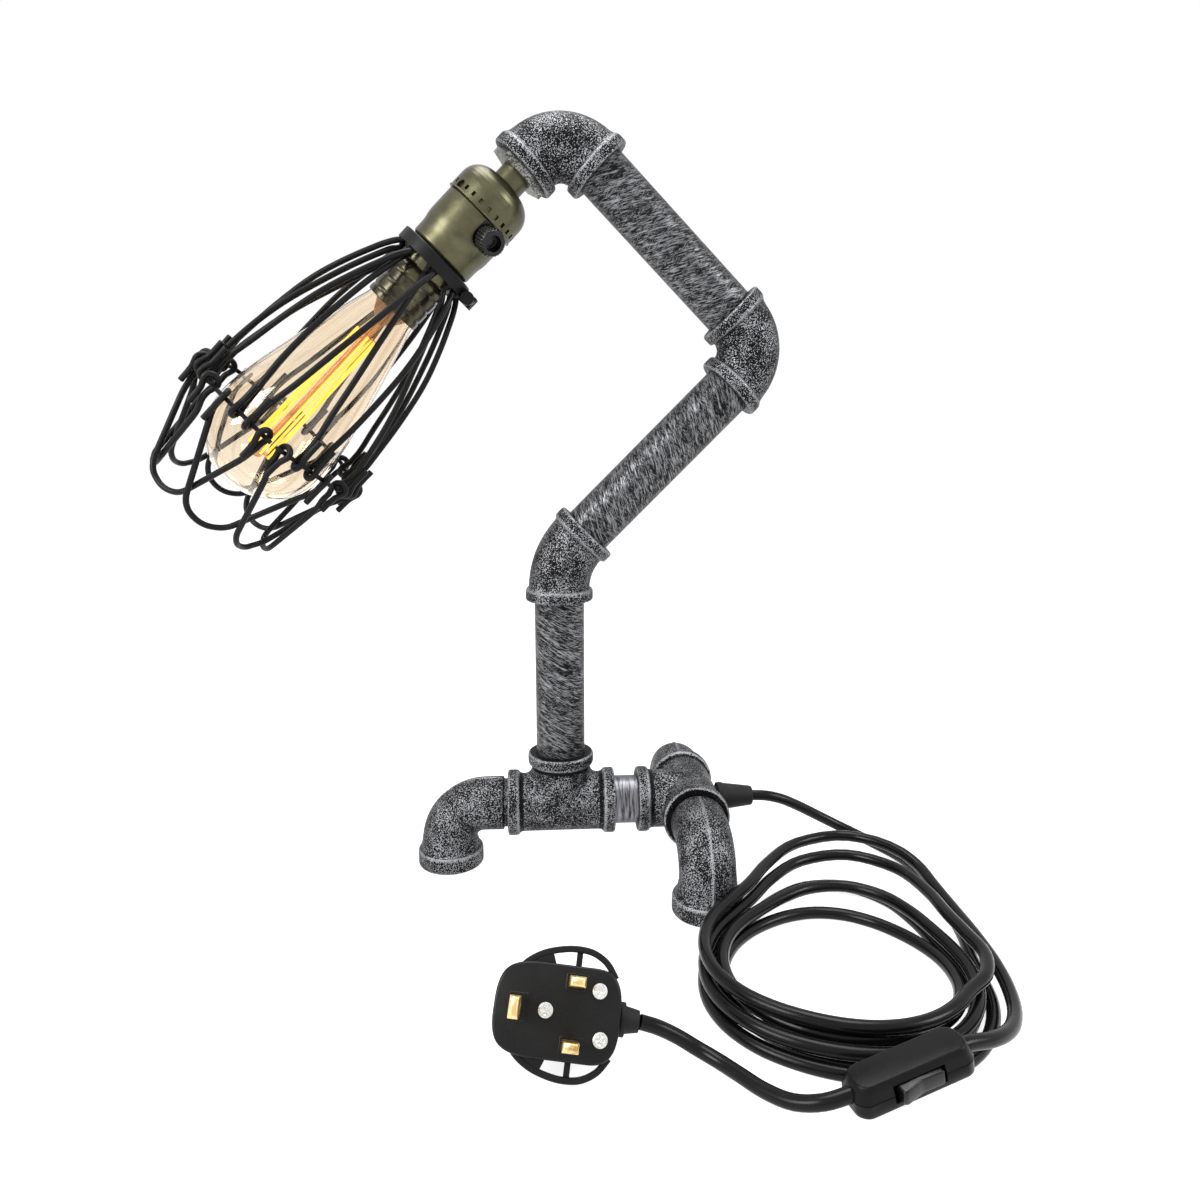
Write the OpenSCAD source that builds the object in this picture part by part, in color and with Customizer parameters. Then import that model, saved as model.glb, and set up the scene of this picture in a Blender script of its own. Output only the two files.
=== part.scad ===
// Industrial pipe table lamp: three-foot pipe base, jointed pipe arm, caged lamp head, coiled cord and plug.
// Millimetres, +Z up, +X along the base towards the cord, +Y away from the viewer.
// The origin is on the table, below the middle of the lamp without its free cord.

/* [Pipe and fittings] */
// outside diameter of the pipe
pipe_d = 26.9; // [26.9:0.1:27.1]
// pipe wall thickness
pipe_wall = 2.6; // [2.3:0.1:2.9]
// outside diameter of the bands at a fitting's mouths
band_d = 36.5; // [36:0.5:38]
// length of a band along its mouth
band_w = 6; // [5:0.5:7]
// outside diameter of a fitting's body
body_d = 32.4; // [32:0.2:33]
// centre of a tee to each of its faces
tee_reach = 30; // [30:0.5:31]
// centre of a 90 degree elbow to its faces
elbow_reach = 28; // [28:0.5:30]
// centre of the 45 degree elbow to its faces
bend_reach = 22; // [22:0.5:24]

/* [Base] */
// height of the base pipes' axis above the table
axis_h = 34.5; // [34:0.5:36]
// gap between the two tees, bridged by the nipple
nipple_gap = 13; // [10:0.5:16]
// tee face to the vertical axis of a foot
foot_reach = 33; // [33:0.5:36]
// height of the band that stands on the table
foot_band = 9; // [8:0.5:10]

/* [Arm] */
// tee axis to the vertex of the 45 degree elbow
post_len = 139; // [120:1:180]
// vertex to vertex of the lower arm
lower_len = 154; // [140:1:170]
// vertex to vertex of the upper arm
upper_len = 150; // [140:1:160]

/* [Lampholder] */
// outside diameter of the cap
cap_d = 38.6; // [38:0.2:40]
// number of small slots round the cap
slot_count = 24; // [12:2:30]
// angle of the switch knob from the front, towards the arm
knob_angle = 38; // [20:1:60]

/* [Bulb] */
// widest diameter of the glass
bulb_d = 64; // [58:1:68]
// glass wall thickness
glass_wall = 1; // [0.8:0.1:1.2]

/* [Cage] */
// cage wire diameter
wire_d = 3; // [2.4:0.1:3]
// diameter of the short rods of the octagon
rod_d = 2.2; // [1.8:0.1:2.2]
// radius of the octagon's corners
ring_r = 50; // [48:0.5:54]
// turn of the cage about the lamp head
cage_turn = -14; // [-22:1:22]
// radius of the opening at the bottom of the cage
mouth_r = 33.5; // [32:0.5:36]

/* [Cord] */
// cord diameter
cord_d = 6; // [5:0.1:6]
// hollow radius of the coil
coil_r = 49; // [46:0.5:50]
// step from turn to turn where the turns lie close
coil_step = 6.5; // [6.5:0.1:7]
// extra step at the back, where the turns lie apart
coil_loose = 23; // [8:1:24]

/* [View] */
// one node's name, or all

/* [Hidden] */
$fn = 72;
fit = 0.05;                     // radial clearance of a screwed or turning fit
gap = 0.3;                      // space between neighbours that move or just touch
pipe_r = pipe_d / 2;
mouth_bore = pipe_r + fit;
way_r = 10;                     // waterway through the fittings
mouth_depth = 14;               // depth of the counterbore that takes a pipe
band_r = band_d / 2;
body_r = body_d / 2;
post_x = 45.2;                   // upright's place in the frame
tee_step = 2 * tee_reach + nipple_gap;
bend_z = axis_h + post_len;     // vertex of the 45 degree elbow
elbow_x = post_x + lower_len * sin(45);
elbow_z = bend_z + lower_len * cos(45);
top_x = elbow_x - upper_len * sin(45);
top_z = elbow_z + upper_len * cos(45);
flex_r = cord_d / 2;

// ---------------------------------------------------------------- shared shapes
module ring_band(len) {
    // band at a mouth: its face is at z = 0, the body is above it
    edge = 0.9;
    rotate_extrude()
        polygon([[0, 0], [band_r - edge, 0], [band_r, edge], [band_r, len - edge],
                 [band_r - edge, len], [body_r - 0.7, len + 1.4], [0, len + 1.4]]);
}

module mouth_cut() {
    translate([0, 0, -1]) cylinder(r = mouth_bore, h = mouth_depth + 1);
    translate([0, 0, mouth_depth - 1]) cylinder(r1 = mouth_bore, r2 = way_r - 0.7, h = 1.7 + mouth_bore - way_r);
}

// rises along +Z from below and turns towards +X
module bend_sweep(r, radius, ang, from_z) {
    translate([radius, 0, from_z]) rotate([90, 0, 180])
        rotate_extrude(angle = ang) translate([radius, 0]) circle(r = r);
}

module elbow_fitting(ang, reach) {
    radius = (reach - band_w) / tan(ang / 2);
    difference() {
        union() {
            bend_sweep(body_r, radius, ang, -(reach - band_w));
            translate([0, 0, -reach]) ring_band(band_w);
            rotate([0, ang, 0]) translate([0, 0, reach]) mirror([0, 0, 1]) ring_band(band_w);
        }
        bend_sweep(way_r, radius, ang, -(reach - band_w));
        translate([0, 0, -reach]) mouth_cut();
        rotate([0, ang, 0]) translate([0, 0, reach]) mirror([0, 0, 1]) mouth_cut();
    }
}

module tee_fitting() {
    // run along X, branch up
    difference() {
        union() {
            for (side = [-1, 1])
                rotate([0, side * 90, 0]) translate([0, 0, tee_reach]) mirror([0, 0, 1]) ring_band(band_w);
            rotate([0, 90, 0]) cylinder(r = body_r, h = 2 * (tee_reach - band_w), center = true);
            cylinder(r = body_r, h = tee_reach - band_w);
            translate([0, 0, tee_reach]) mirror([0, 0, 1]) ring_band(band_w);
        }
        rotate([0, 90, 0]) cylinder(r = way_r, h = 2 * tee_reach, center = true);
        cylinder(r = way_r, h = tee_reach);
        for (side = [-1, 1])
            rotate([0, side * 90, 0]) translate([0, 0, tee_reach]) mirror([0, 0, 1]) mouth_cut();
        translate([0, 0, tee_reach]) mirror([0, 0, 1]) mouth_cut();
    }
}

// street elbow used as a foot: its male end points along +X into a tee at the origin
module foot_fitting() {
    turn_r = 20;
    neck_r = 14.6;
    foot_x = -(tee_reach + foot_reach);
    shoulder_x = foot_x + turn_r;
    difference() {
        union() {
            translate([foot_x, 0, axis_h - turn_r]) translate([turn_r, 0, 0]) rotate([90, 0, 180])
                rotate_extrude(angle = 90) translate([turn_r, 0]) circle(r = neck_r);
            translate([shoulder_x, 0, axis_h]) rotate([0, 90, 0])
                cylinder(r = neck_r, h = -tee_reach - 2 - shoulder_x);
            translate([-tee_reach - 2, 0, axis_h]) rotate([0, 90, 0])
                cylinder(r = pipe_r, h = mouth_depth + 1.5);
            translate([foot_x, 0, foot_band]) cylinder(r1 = body_r + 0.8, r2 = neck_r, h = axis_h - turn_r - foot_band);
            translate([foot_x, 0, 0]) ring_band(foot_band);
        }
        translate([shoulder_x, 0, axis_h - turn_r]) rotate([90, 0, 180])
            rotate_extrude(angle = 90) translate([turn_r, 0]) circle(r = way_r);
        translate([shoulder_x, 0, axis_h]) rotate([0, 90, 0]) cylinder(r = way_r, h = foot_reach);
        translate([foot_x, 0, -1]) cylinder(r = way_r, h = axis_h - turn_r + 1);
        translate([foot_x, 0, -1]) cylinder(r = mouth_bore, h = foot_band + 1);
    }
}

module pipe_length(from_z, to_z) {
    difference() {
        translate([0, 0, from_z]) cylinder(r = pipe_r, h = to_z - from_z);
        translate([0, 0, from_z - 1]) cylinder(r = pipe_r - pipe_wall, h = to_z - from_z + 2);
    }
}

module hex_prism(across_corners, h) {
    linear_extrude(h)
        polygon([for (k = [0:5]) across_corners / 2 * [cos(60 * k), sin(60 * k)]]);
}

// places of the arm's parts, each with its own Z along the pipe
module at_bend() translate([post_x, 0, bend_z]) children();
module at_lower() translate([post_x, 0, bend_z]) rotate([0, 45, 0]) children();
module at_elbow() translate([elbow_x, 0, elbow_z]) rotate([0, 45, 0]) rotate([0, 0, 180]) children();
module at_upper() translate([elbow_x, 0, elbow_z]) rotate([0, -45, 0]) children();
module at_top() translate([top_x, 0, top_z]) rotate([0, -45, 0]) rotate([0, 0, 180]) children();
module at_head() translate([top_x, 0, top_z]) rotate([0, 225, 0]) children();
module at_cord_tee() translate([post_x + tee_step, 0, 0]) children();

// ---------------------------------------------------------------- base
cast = [0.13, 0.13, 0.14];
steel = [0.5, 0.5, 0.52];

module base_tee() color(cast) translate([post_x, 0, axis_h]) tee_fitting();

module cord_tee() color(cast) at_cord_tee() {
    // branch towards the first tee, run from back to front, gland hole in the far wall
    difference() {
        translate([0, 0, axis_h]) rotate([0, -90, 0]) rotate([0, 0, 90]) tee_fitting();
        translate([0, 0, axis_h]) rotate([0, 90, 0]) cylinder(r = gland_r + fit, h = body_r + 5);
    }
}

module base_nipple() color(steel)
    translate([post_x, 0, axis_h]) rotate([0, 90, 0])
        pipe_length(tee_reach - mouth_depth + 0.5, tee_reach + nipple_gap + mouth_depth - 0.5);

module left_foot_elbow() color(cast) translate([post_x, 0, 0]) foot_fitting();
module front_foot_elbow() color(cast) at_cord_tee() rotate([0, 0, 90]) foot_fitting();
module back_foot_elbow() color(cast) at_cord_tee() rotate([0, 0, -90]) foot_fitting();

gland_r = 5.5;
gland_out = 37;                 // end of the gland, from the cord tee's centre

module cord_gland() color([0.04, 0.04, 0.04]) at_cord_tee() translate([0, 0, axis_h]) rotate([0, 90, 0])
    difference() {
        union() {
            translate([0, 0, way_r + 2]) cylinder(r = gland_r, h = 10);
            translate([0, 0, body_r + 0.1]) cylinder(r = 8, h = 4);
            translate([0, 0, body_r + 4]) cylinder(r = 7, h = 6);
            translate([0, 0, body_r + 9.5]) cylinder(r1 = 6.6, r2 = 4.6, h = gland_out - body_r - 9.5);
        }
        cylinder(r = flex_r + 0.1, h = gland_out + 1);
    }

// middle line of flex that comes up along Z, turns towards +X in a bend about the origin and goes on
function bend_path(radius, ang, before, after) = let (t = radius * tan(ang / 2)) concat(
    [[0, 0, -t - before]], [for (a = [0:ang / 6:ang]) [radius * (1 - cos(a)), 0, radius * sin(a) - t]],
    [[(t + after) * sin(ang), 0, (t + after) * cos(ang)]]);
module flex(radius, ang, before, after)
    color([0.05, 0.05, 0.05]) tube(bend_path(radius, ang, before, after), flex_r, 8, [0, 1, 0]);

// hidden flex from the gland to the first turning joint
flex_turn = 14;                 // bend radius of the flex in an elbow or tee
module flex_base() translate([post_x, 0, axis_h]) rotate([0, -90, 0])
    flex(flex_rise, 90, tee_step + gland_out - 0.1 - flex_rise, tee_reach - mouth_depth - flex_rise + 0.3);
flex_rise = 12;                 // its bend in the first tee

// ---------------------------------------------------------------- upright
module upright_pipe() color(steel) translate([post_x, 0, 0])
    pipe_length(axis_h + tee_reach - mouth_depth + 0.5, bend_z - bend_reach + mouth_depth - 0.5);

module elbow_45() color(cast) at_bend() elbow_fitting(45, bend_reach);

module flex_upright() at_bend() let (t = bend_reach - mouth_depth)
    flex(t / tan(22.5), 45, post_len - tee_reach + mouth_depth - 0.6 - t, 0.05);

// ---------------------------------------------------------------- lower arm
module lower_pipe() color(steel) at_lower()
    pipe_length(bend_reach - mouth_depth + 0.5, lower_len - elbow_reach + mouth_depth - 0.5);

module elbow_90() color(cast) at_elbow() elbow_fitting(90, elbow_reach);

module flex_lower() at_elbow() flex(flex_turn, 90, lower_len - flex_turn - bend_reach + mouth_depth - 0.3, 0.05);

// ---------------------------------------------------------------- upper arm
bush_face = elbow_reach;
neck_lo = elbow_reach + 3.7;
neck_hi = elbow_reach + 10.3;
cap_top = elbow_reach + 10.6;
nipple_end = cap_top + 5.4;

module upper_pipe() color(steel) at_upper()
    pipe_length(elbow_reach - mouth_depth + 0.5, upper_len - elbow_reach + mouth_depth - 0.5);

module top_elbow() color(cast) at_top() elbow_fitting(90, elbow_reach);

module hex_bush() color([0.35, 0.35, 0.33]) at_head() difference() {
    union() {
        translate([0, 0, bush_face - mouth_depth + 0.5]) cylinder(r = pipe_r, h = mouth_depth - 0.4);
        translate([0, 0, bush_face + 0.05]) hex_prism(31, 3.5);
    }
    cylinder(r = nipple_r + fit, h = bush_face + 10);
}

nipple_r = 5;
module head_nipple() color([0.72, 0.55, 0.25]) at_head() difference() {
    union() {
        translate([0, 0, bush_face - 10]) cylinder(r = nipple_r, h = nipple_end - bush_face + 10);
        translate([0, 0, neck_lo]) cylinder(r = 8, h = neck_hi - neck_lo);
    }
    cylinder(r = flex_r + 0.4, h = nipple_end + 1);
}

module flex_upper() at_top() flex(flex_turn, 90, upper_len - 2 * flex_turn - 0.4, nipple_end - flex_turn);

// ---------------------------------------------------------------- lampholder (Z is the distance from the top elbow)
bronze = [0.42, 0.4, 0.28];
cap_r = cap_d / 2;
cap_wall = 1.2;
dome_r = 11;
cap_end = cap_top + 19.7;
shell_r = cap_r - 0.9;
neck_in = 17.4;                 // shell radius below its shoulder
skirt_r = 15.6;
skirt_top = elbow_reach + 59;
skirt_end = elbow_reach + 69.5;
core_top = cap_top + 13.4;
core_end = core_top + 18.8;
knob_z = elbow_reach + 37;

function dome(r, c, z0) = [for (a = [0:10:90]) [c + r * sin(a), z0 + dome_r - r * cos(a)]];

module holder_cap() color(bronze) at_head() difference() {
    inner = dome_r - cap_wall;
    rotate_extrude() polygon(concat(
        [[nipple_r + fit, cap_top]], dome(dome_r, cap_r - dome_r, cap_top),
        [[cap_r, cap_end], [cap_r - cap_wall, cap_end]],
        [for (a = [90:-10:0]) [cap_r - dome_r + inner * sin(a), cap_top + dome_r - inner * cos(a)]],
        [[nipple_r + fit, cap_top + cap_wall]]));
    for (k = [0:slot_count - 1])
        rotate([0, 0, k * 360 / slot_count]) translate([cap_r - 3, -0.9, cap_end - 4.6]) cube([6, 1.8, 2.4]);
    rotate([0, 0, -90 + 44]) translate([0, 0, cap_top + 6.2]) rotate([0, 60, 0]) cylinder(r = 2.4, h = 40);
}

module lock_nut() color([0.6, 0.5, 0.3]) at_head() translate([0, 0, cap_top + cap_wall + 0.05]) difference() {
    hex_prism(15, 3);
    translate([0, 0, -1]) cylinder(r = nipple_r + fit, h = 5);
}

module holder_shell() color(bronze) at_head() difference() {
    t = 0.9;
    tucked = cap_r - cap_wall - 0.1;
    rotate_extrude() polygon([
        [tucked - t, cap_top + 12], [tucked, cap_top + 12], [tucked, cap_end + 0.2], [shell_r, cap_end + 0.6],
        [shell_r, skirt_top - 12.5], [neck_in, skirt_top - 7.5], [neck_in, skirt_top - 1.5], [skirt_r, skirt_top],
        [skirt_r, skirt_end], [skirt_r - t, skirt_end], [skirt_r - t, skirt_top - 0.4],
        [neck_in - t, skirt_top - 1.9], [neck_in - t, skirt_top - 7.8], [shell_r - t, skirt_top - 12.8],
        [shell_r - t, cap_end + 1], [tucked - t, cap_end + 0.6]]);
    rotate([0, 0, -90 - knob_angle]) translate([10, 0, knob_z]) rotate([0, 90, 0]) cylinder(r = 3.2, h = 20);
}

module shell_liner() color([0.75, 0.68, 0.5]) at_head() difference() {
    translate([0, 0, core_top]) cylinder(r = 16.4, h = 33);
    translate([0, 0, core_top - 1]) cylinder(r = 15.6, h = 36);
    rotate([0, 0, -90 - knob_angle]) translate([10, 0, knob_z]) rotate([0, 90, 0]) cylinder(r = 3.2, h = 20);
}

module holder_core() color([0.12, 0.1, 0.09]) at_head() difference() {
    union() {
        translate([0, 0, core_top]) cylinder(r = 15.5, h = core_end - core_top);
        translate([0, 0, core_end - 0.5]) cylinder(r = 14.4, h = 4.5);
    }
    translate([0, 0, core_end]) cylinder(r = 12.6, h = 10);
    rotate([0, 0, -90 - knob_angle]) translate([6, 0, knob_z]) rotate([0, 90, 0]) cylinder(r = 2 + fit, h = 20);
    for (side = [-1, 1]) translate([side * 8, 9, core_top - 1]) cylinder(r = 1.75, h = 9);
    translate([0, 0, core_top - 1]) cylinder(r = flex_r + 0.2, h = 7);
}

module screw_shell() color([0.72, 0.56, 0.28]) at_head() difference() {
    translate([0, 0, core_end + 4.2]) cylinder(r = 14.2, h = 18);
    translate([0, 0, core_end + 3]) cylinder(r = 13.5, h = 22);
}

module centre_contact() color([0.8, 0.6, 0.3]) at_head() translate([0, 0, core_end + 0.02])
    linear_extrude(1.2) polygon([[-4, -4], [4, -4], [4, 4], [-4, 4]]);

module terminal_screws() color([0.75, 0.75, 0.72]) at_head()
    for (side = [-1, 1]) translate([side * 8, 9, 0]) {
        translate([0, 0, core_top]) cylinder(r = 1.7, h = 7);
        difference() {
            translate([0, 0, core_top - 2.2]) cylinder(r = 3, h = 2.2);
            translate([-4, -0.4, core_top - 3.2]) cube([8, 0.8, 1.8]);
        }
    }

module flex_head() color([0.05, 0.05, 0.05]) at_head()
    translate([0, 0, nipple_end + gap]) cylinder(r = flex_r, h = core_top + 5.7 - nipple_end - gap);

module at_knob() at_head() rotate([0, 0, -90 - knob_angle]) translate([0, 0, knob_z]) rotate([0, 90, 0]) children();

module switch_stem() color([0.08, 0.08, 0.08]) at_knob() {
    translate([0, 0, 9]) cylinder(r = 2, h = 14);
    translate([0, 0, shell_r + 0.5]) cylinder(r = 4.6, h = 2.2);
}

module switch_knob() color([0.05, 0.05, 0.06]) at_knob() difference() {
    ribs = 24;
    union() {
        translate([0, 0, 21.2]) cylinder(r = 6.2, h = 8.2);
        for (k = [0:ribs - 1]) rotate([0, 0, k * 360 / ribs]) translate([5.9, -0.35, 21.8]) cube([0.7, 0.7, 6.6]);
    }
    translate([0, 0, 28.6]) cylinder(r = 4.6, h = 2);
    translate([0, 0, 20]) cylinder(r = 2, h = 3.2);
}

// ---------------------------------------------------------------- bulb
thread_top = core_end + 2.9;
thread_end = elbow_reach + 70;
sleeve_r = 14.7;
sleeve_end = elbow_reach + 94;
bulb_r = bulb_d / 2;
bulb_tip = elbow_reach + 217;

module bulb_cap() color([0.4, 0.37, 0.25]) at_head() difference() {
    union() {
        translate([0, 0, thread_top]) cylinder(r1 = 8, r2 = 12.5, h = 3);
        translate([0, 0, thread_top + 3]) cylinder(r = 12.5, h = thread_end - thread_top - 1);
        for (k = [0:5]) translate([0, 0, thread_top + 4 + 3.6 * k])
            rotate_extrude() translate([12.4, 0]) circle(r = 0.75);
        translate([0, 0, thread_end]) cylinder(r1 = 13, r2 = sleeve_r, h = 3);
        translate([0, 0, thread_end + 3]) cylinder(r = sleeve_r, h = sleeve_end - thread_end - 3);
    }
    translate([0, 0, thread_top - 1]) cylinder(r = 6, h = 4);
    translate([0, 0, thread_top + 3]) cylinder(r = 11.7, h = 60);
    translate([0, 0, thread_end + 6]) cylinder(r = 14, h = 60);
    for (k = [0:2]) translate([0, 0, thread_end + 6.5 + 5.5 * k])
        rotate_extrude() translate([sleeve_r, 0]) circle(r = 0.45);
}

module bulb_contact() color([0.15, 0.13, 0.15]) at_head() {
    translate([0, 0, thread_top - 1.4]) cylinder(r = 3.5, h = 2);
    translate([0, 0, thread_top]) cylinder(r = 5.9, h = 3);
}

// glass outline: distance along the head, radius
function glass_outline(t) = [
    [13.8 - t, sleeve_end - 9], [13.8 - t, sleeve_end + 1], [15.5 - t, sleeve_end + 7], [18.6 - t, sleeve_end + 19],
    [22.6 - t, sleeve_end + 35], [26.6 - t, sleeve_end + 52], [30 - t, sleeve_end + 68],
    [bulb_r - 0.4 - t, sleeve_end + 80], [bulb_r - t, sleeve_end + 88], [bulb_r - 1 - t, sleeve_end + 97 - t / 2],
    [28.2 - t, sleeve_end + 105.5 - t], [23.4 - t, sleeve_end + 112 - t], [16.5 - t, sleeve_end + 117.5 - t],
    [9 - t, sleeve_end + 120.4 - t], [4.6 - t, sleeve_end + 121 - t]];

module bulb_glass() color([0.9, 0.75, 0.5, 0.4]) at_head() rotate_extrude() polygon(concat(
    glass_outline(0), [[2.4, bulb_tip - 1], [0, bulb_tip]],
    [[0, sleeve_end + 121 - 2 * glass_wall]],
    [for (k = [14:-1:0]) glass_outline(glass_wall)[k]]));

filament_top = sleeve_end + 22;
filament_end = sleeve_end + 96;
filament_count = 8;

module bulb_stem() color([0.8, 0.8, 0.75]) at_head() {
    difference() {
        translate([0, 0, sleeve_end - 6]) cylinder(r1 = 12.6, r2 = 5, h = 14);
        translate([0, 0, sleeve_end - 7]) cylinder(r1 = 11.6, r2 = 3, h = 11);
    }
    translate([0, 0, sleeve_end + 7]) cylinder(r = 2, h = filament_end - sleeve_end - 3);
    for (z = [filament_top - 4, filament_end + 3]) translate([0, 0, z]) {
        for (k = [0:filament_count - 1]) rotate([0, 0, 360 / filament_count * (k + 0.5)])
            translate([1, 0, 0]) rotate([0, 90, 0]) cylinder(r = 0.35, h = z > filament_end ? 8 : 6, $fn = 24);
        cylinder(r = 2.6, h = 2, center = true);
    }
}

module filament() color([1, 0.85, 0.1]) at_head() {
    lean = 1.6;
    for (k = [0:filament_count - 1]) rotate([0, 0, 360 / filament_count * (k + 0.5)])
        translate([7, 0, filament_top - 4]) rotate([0, atan(lean / (filament_end - filament_top)), 0])
            cylinder(r = 0.8, h = filament_end - filament_top + 7);
}

// ---------------------------------------------------------------- swept wire
function unit(v) = v / norm(v);
function along(p, i) = unit(p[min(i + 1, len(p) - 1)] - p[max(i - 1, 0)]);
function square_to(u, t) = unit(u - (u * t) * t);
function carried(p, u0) =
    [for (i = 0, u = square_to(u0, along(p, 0)); i < len(p);
          i = i + 1, u = square_to(u, along(p, min(i, len(p) - 1)))) u];

// one unbroken tube along points p; side0 is any direction square to its start
module tube(p, r, sides, side0) {
    n = len(p);
    frames = carried(p, side0);
    rings = [for (i = [0:n - 1])
        let (t = along(p, i), a = square_to(frames[i], t), b = cross(t, a))
        for (k = [0:sides - 1]) p[i] + r * (cos(360 * k / sides) * a + sin(360 * k / sides) * b)];
    sides_faces = [for (i = [0:n - 2], k = [0:sides - 1])
        let (a = i * sides + k, b = i * sides + (k + 1) % sides)
        for (f = [[a, a + sides, b], [b, a + sides, b + sides]]) f];
    caps = [for (k = [1:sides - 2]) for (f = [[0, k, k + 1],
        [(n - 1) * sides, (n - 1) * sides + k + 1, (n - 1) * sides + k]]) f];
    polyhedron(points = rings, faces = concat(sides_faces, caps));
}

// ---------------------------------------------------------------- cage
black = [0.07, 0.07, 0.08];
wire_r = wire_d / 2;
rod_r = rod_d / 2;
loop_r = rod_r + wire_r + 0.7;      // hook's loop, to the wire's middle
twin = wire_r + 0.2;                // half the step between a hook's leg and its tail
collar_top = skirt_top + 0.2;
collar_end = collar_top + 6.3;
pin_r = 18.25;                      // radius of the hairpins' closed ends, to the wire's middle
pin_top = collar_top + 3.1;
ring_z = elbow_reach + 176;
inner_r = ring_r * cos(22.5);       // middle of a rod to the head's axis
pin_spread = 40;                    // half angle between a hairpin's hooks
petal_spread = 38;                  // half angle between a lower wire's hooks
cross_out = 1.85;                   // each wire's share of the step where two cross

// a point round the head: angle from the front, radius, distance along the head
function round_head(ang, r, z) = [r * sin(ang), -r * cos(ang), z];

module cage_collar() color(black) at_head() {
    difference() {
        rotate_extrude() polygon([
            [skirt_r + fit, collar_top], [20.5, collar_top], [20.9, collar_top + 0.4], [20.9, collar_end],
            [20.1, collar_end], [20.1, collar_top + 1.2], [16.5, collar_top + 1.2],
            [16.5, collar_end], [skirt_r + fit, collar_end]]);
        translate([-24, -1.5, collar_top - 1]) cube([10, 3, 10]);
    }
    for (side = [-1, 1]) difference() {
        translate([-27.5, side * 2.6 - 1.1, collar_top + 1]) cube([7.2, 2.2, 6.5]);
        translate([-24, 0, collar_top + 4.2]) rotate([90, 0, 0]) cylinder(r = 1.75, h = 12, center = true);
    }
}

module clamp_screw() color([0.1, 0.1, 0.1]) at_head() translate([-24, 0, collar_top + 4.2]) rotate([90, 0, 0]) {
    translate([0, 0, -7.5]) cylinder(r = 1.7, h = 13);
    translate([0, 0, 4]) cylinder(r = 3.4, h = 3.4);
}

module clamp_nut() color([0.1, 0.1, 0.1]) at_head() translate([-24, 0, collar_top + 4.2]) rotate([-90, 0, 0])
    difference() {
        translate([0, 0, 3.75]) hex_prism(6.6, 2.6);
        cylinder(r = 1.75, h = 8);
    }

// hook in its own plane: [outwards, along the leg], from the leg round the rod and back along the tail
loop_steps = 8;
function hook_curve(tail) = concat(
    [[-twin, 6.4], [-twin * 1.1, 4.6], [-loop_r * 0.72, 3.1]],
    [for (k = [0:loop_steps]) let (a = 300 - 240 / loop_steps * k) [loop_r * sin(a), loop_r * cos(a)]],
    [[loop_r * 0.72, 3.1], [twin * 1.1, 4.6], [twin, 6.4], [twin, tail]]);

// upper hairpin, one side: sign is -1 or 1
pin_arch = 5.6;                      // radius of the closed end
function ease(x) = let (c = min(1, max(0, x))) c * c * (3 - 2 * c);
function step_out(z) = cross_out * ease((z - collar_end + 0.3) / 3) * (1 - ease((z - pin_top - 38) / 45));
hook_r = inner_r / cos(5);
function bell(z) = let (v = max(0, z - collar_end - 1.5) / (ring_z - collar_end - 1.5))
    pin_r + (hook_r - twin - pin_r) * (1 - pow(1 - v, 2));
function pin_ang(z) = let (z0 = pin_top + pin_arch, a0 = asin(pin_arch / pin_r))
    a0 + (pin_spread - a0) * pow(max(0, (z - z0) / (ring_z - z0)), 0.6);
pin_leg_z = [5, 13, 25, 41, 60, 80];
function pin_side(sign, beta) = concat(
    [for (a = [15:15:90]) let (z = pin_top + pin_arch * (1 - cos(a)), ang = asin(pin_arch * sin(a) / pin_r))
        round_head(beta + sign * ang, pin_r + sign * step_out(z), z)],
    [for (d = pin_leg_z) let (z = pin_top + pin_arch + d)
        round_head(beta + sign * pin_ang(z), bell(z) + sign * step_out(z), z)],
    [for (h = hook_curve(15)) round_head(beta + sign * pin_spread, hook_r + h[0], ring_z - h[1])]);
function backwards(p) = [for (i = [len(p) - 1:-1:0]) p[i]];
function pin_path(beta) = concat(backwards(pin_side(-1, beta)), [round_head(beta, pin_r, pin_top)], pin_side(1, beta));

module cage_hairpins() color(black) at_head()
    for (k = [0:7]) let (beta = cage_turn + 45 * k + 22.5)
        tube(pin_path(beta), wire_r, 8, round_head(beta - pin_spread + 90, 1, 0));

module cage_rods() color(black) at_head()
    for (k = [0:7]) rotate([0, 0, cage_turn + 45 * k + 22.5])
        translate([0, -inner_r, ring_z]) rotate([0, 90, 0])
            cylinder(r = rod_r, h = 2 * inner_r * tan(22.5) - 3.6, center = true);

// lower wires: flat U with hooks, leaning in from its hinge line to the mouth
petal_hook_r = inner_r / cos(petal_spread - 22.5);
petal_half = petal_hook_r * sin(petal_spread);
petal_line = petal_hook_r * cos(petal_spread);
petal_drop = 56;
petal_lean = atan((petal_line - twin - mouth_r) / petal_drop);
petal_long = petal_drop / cos(petal_lean);
petal_arc = 14;
// leg: from (petal_half, leg_from) tangent to the arc at the bottom
leg_from = 7.5;
arc_q = petal_long - petal_arc;
leg_dist = norm([petal_half, arc_q - leg_from]);
leg_ang = atan(petal_half / (arc_q - leg_from)) - asin(petal_arc / leg_dist);
leg_len = sqrt(leg_dist * leg_dist - petal_arc * petal_arc);
function petal_out(x, q) = cross_out * ease(abs(x) / 9) * ease((q - 9) / 9);
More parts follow.
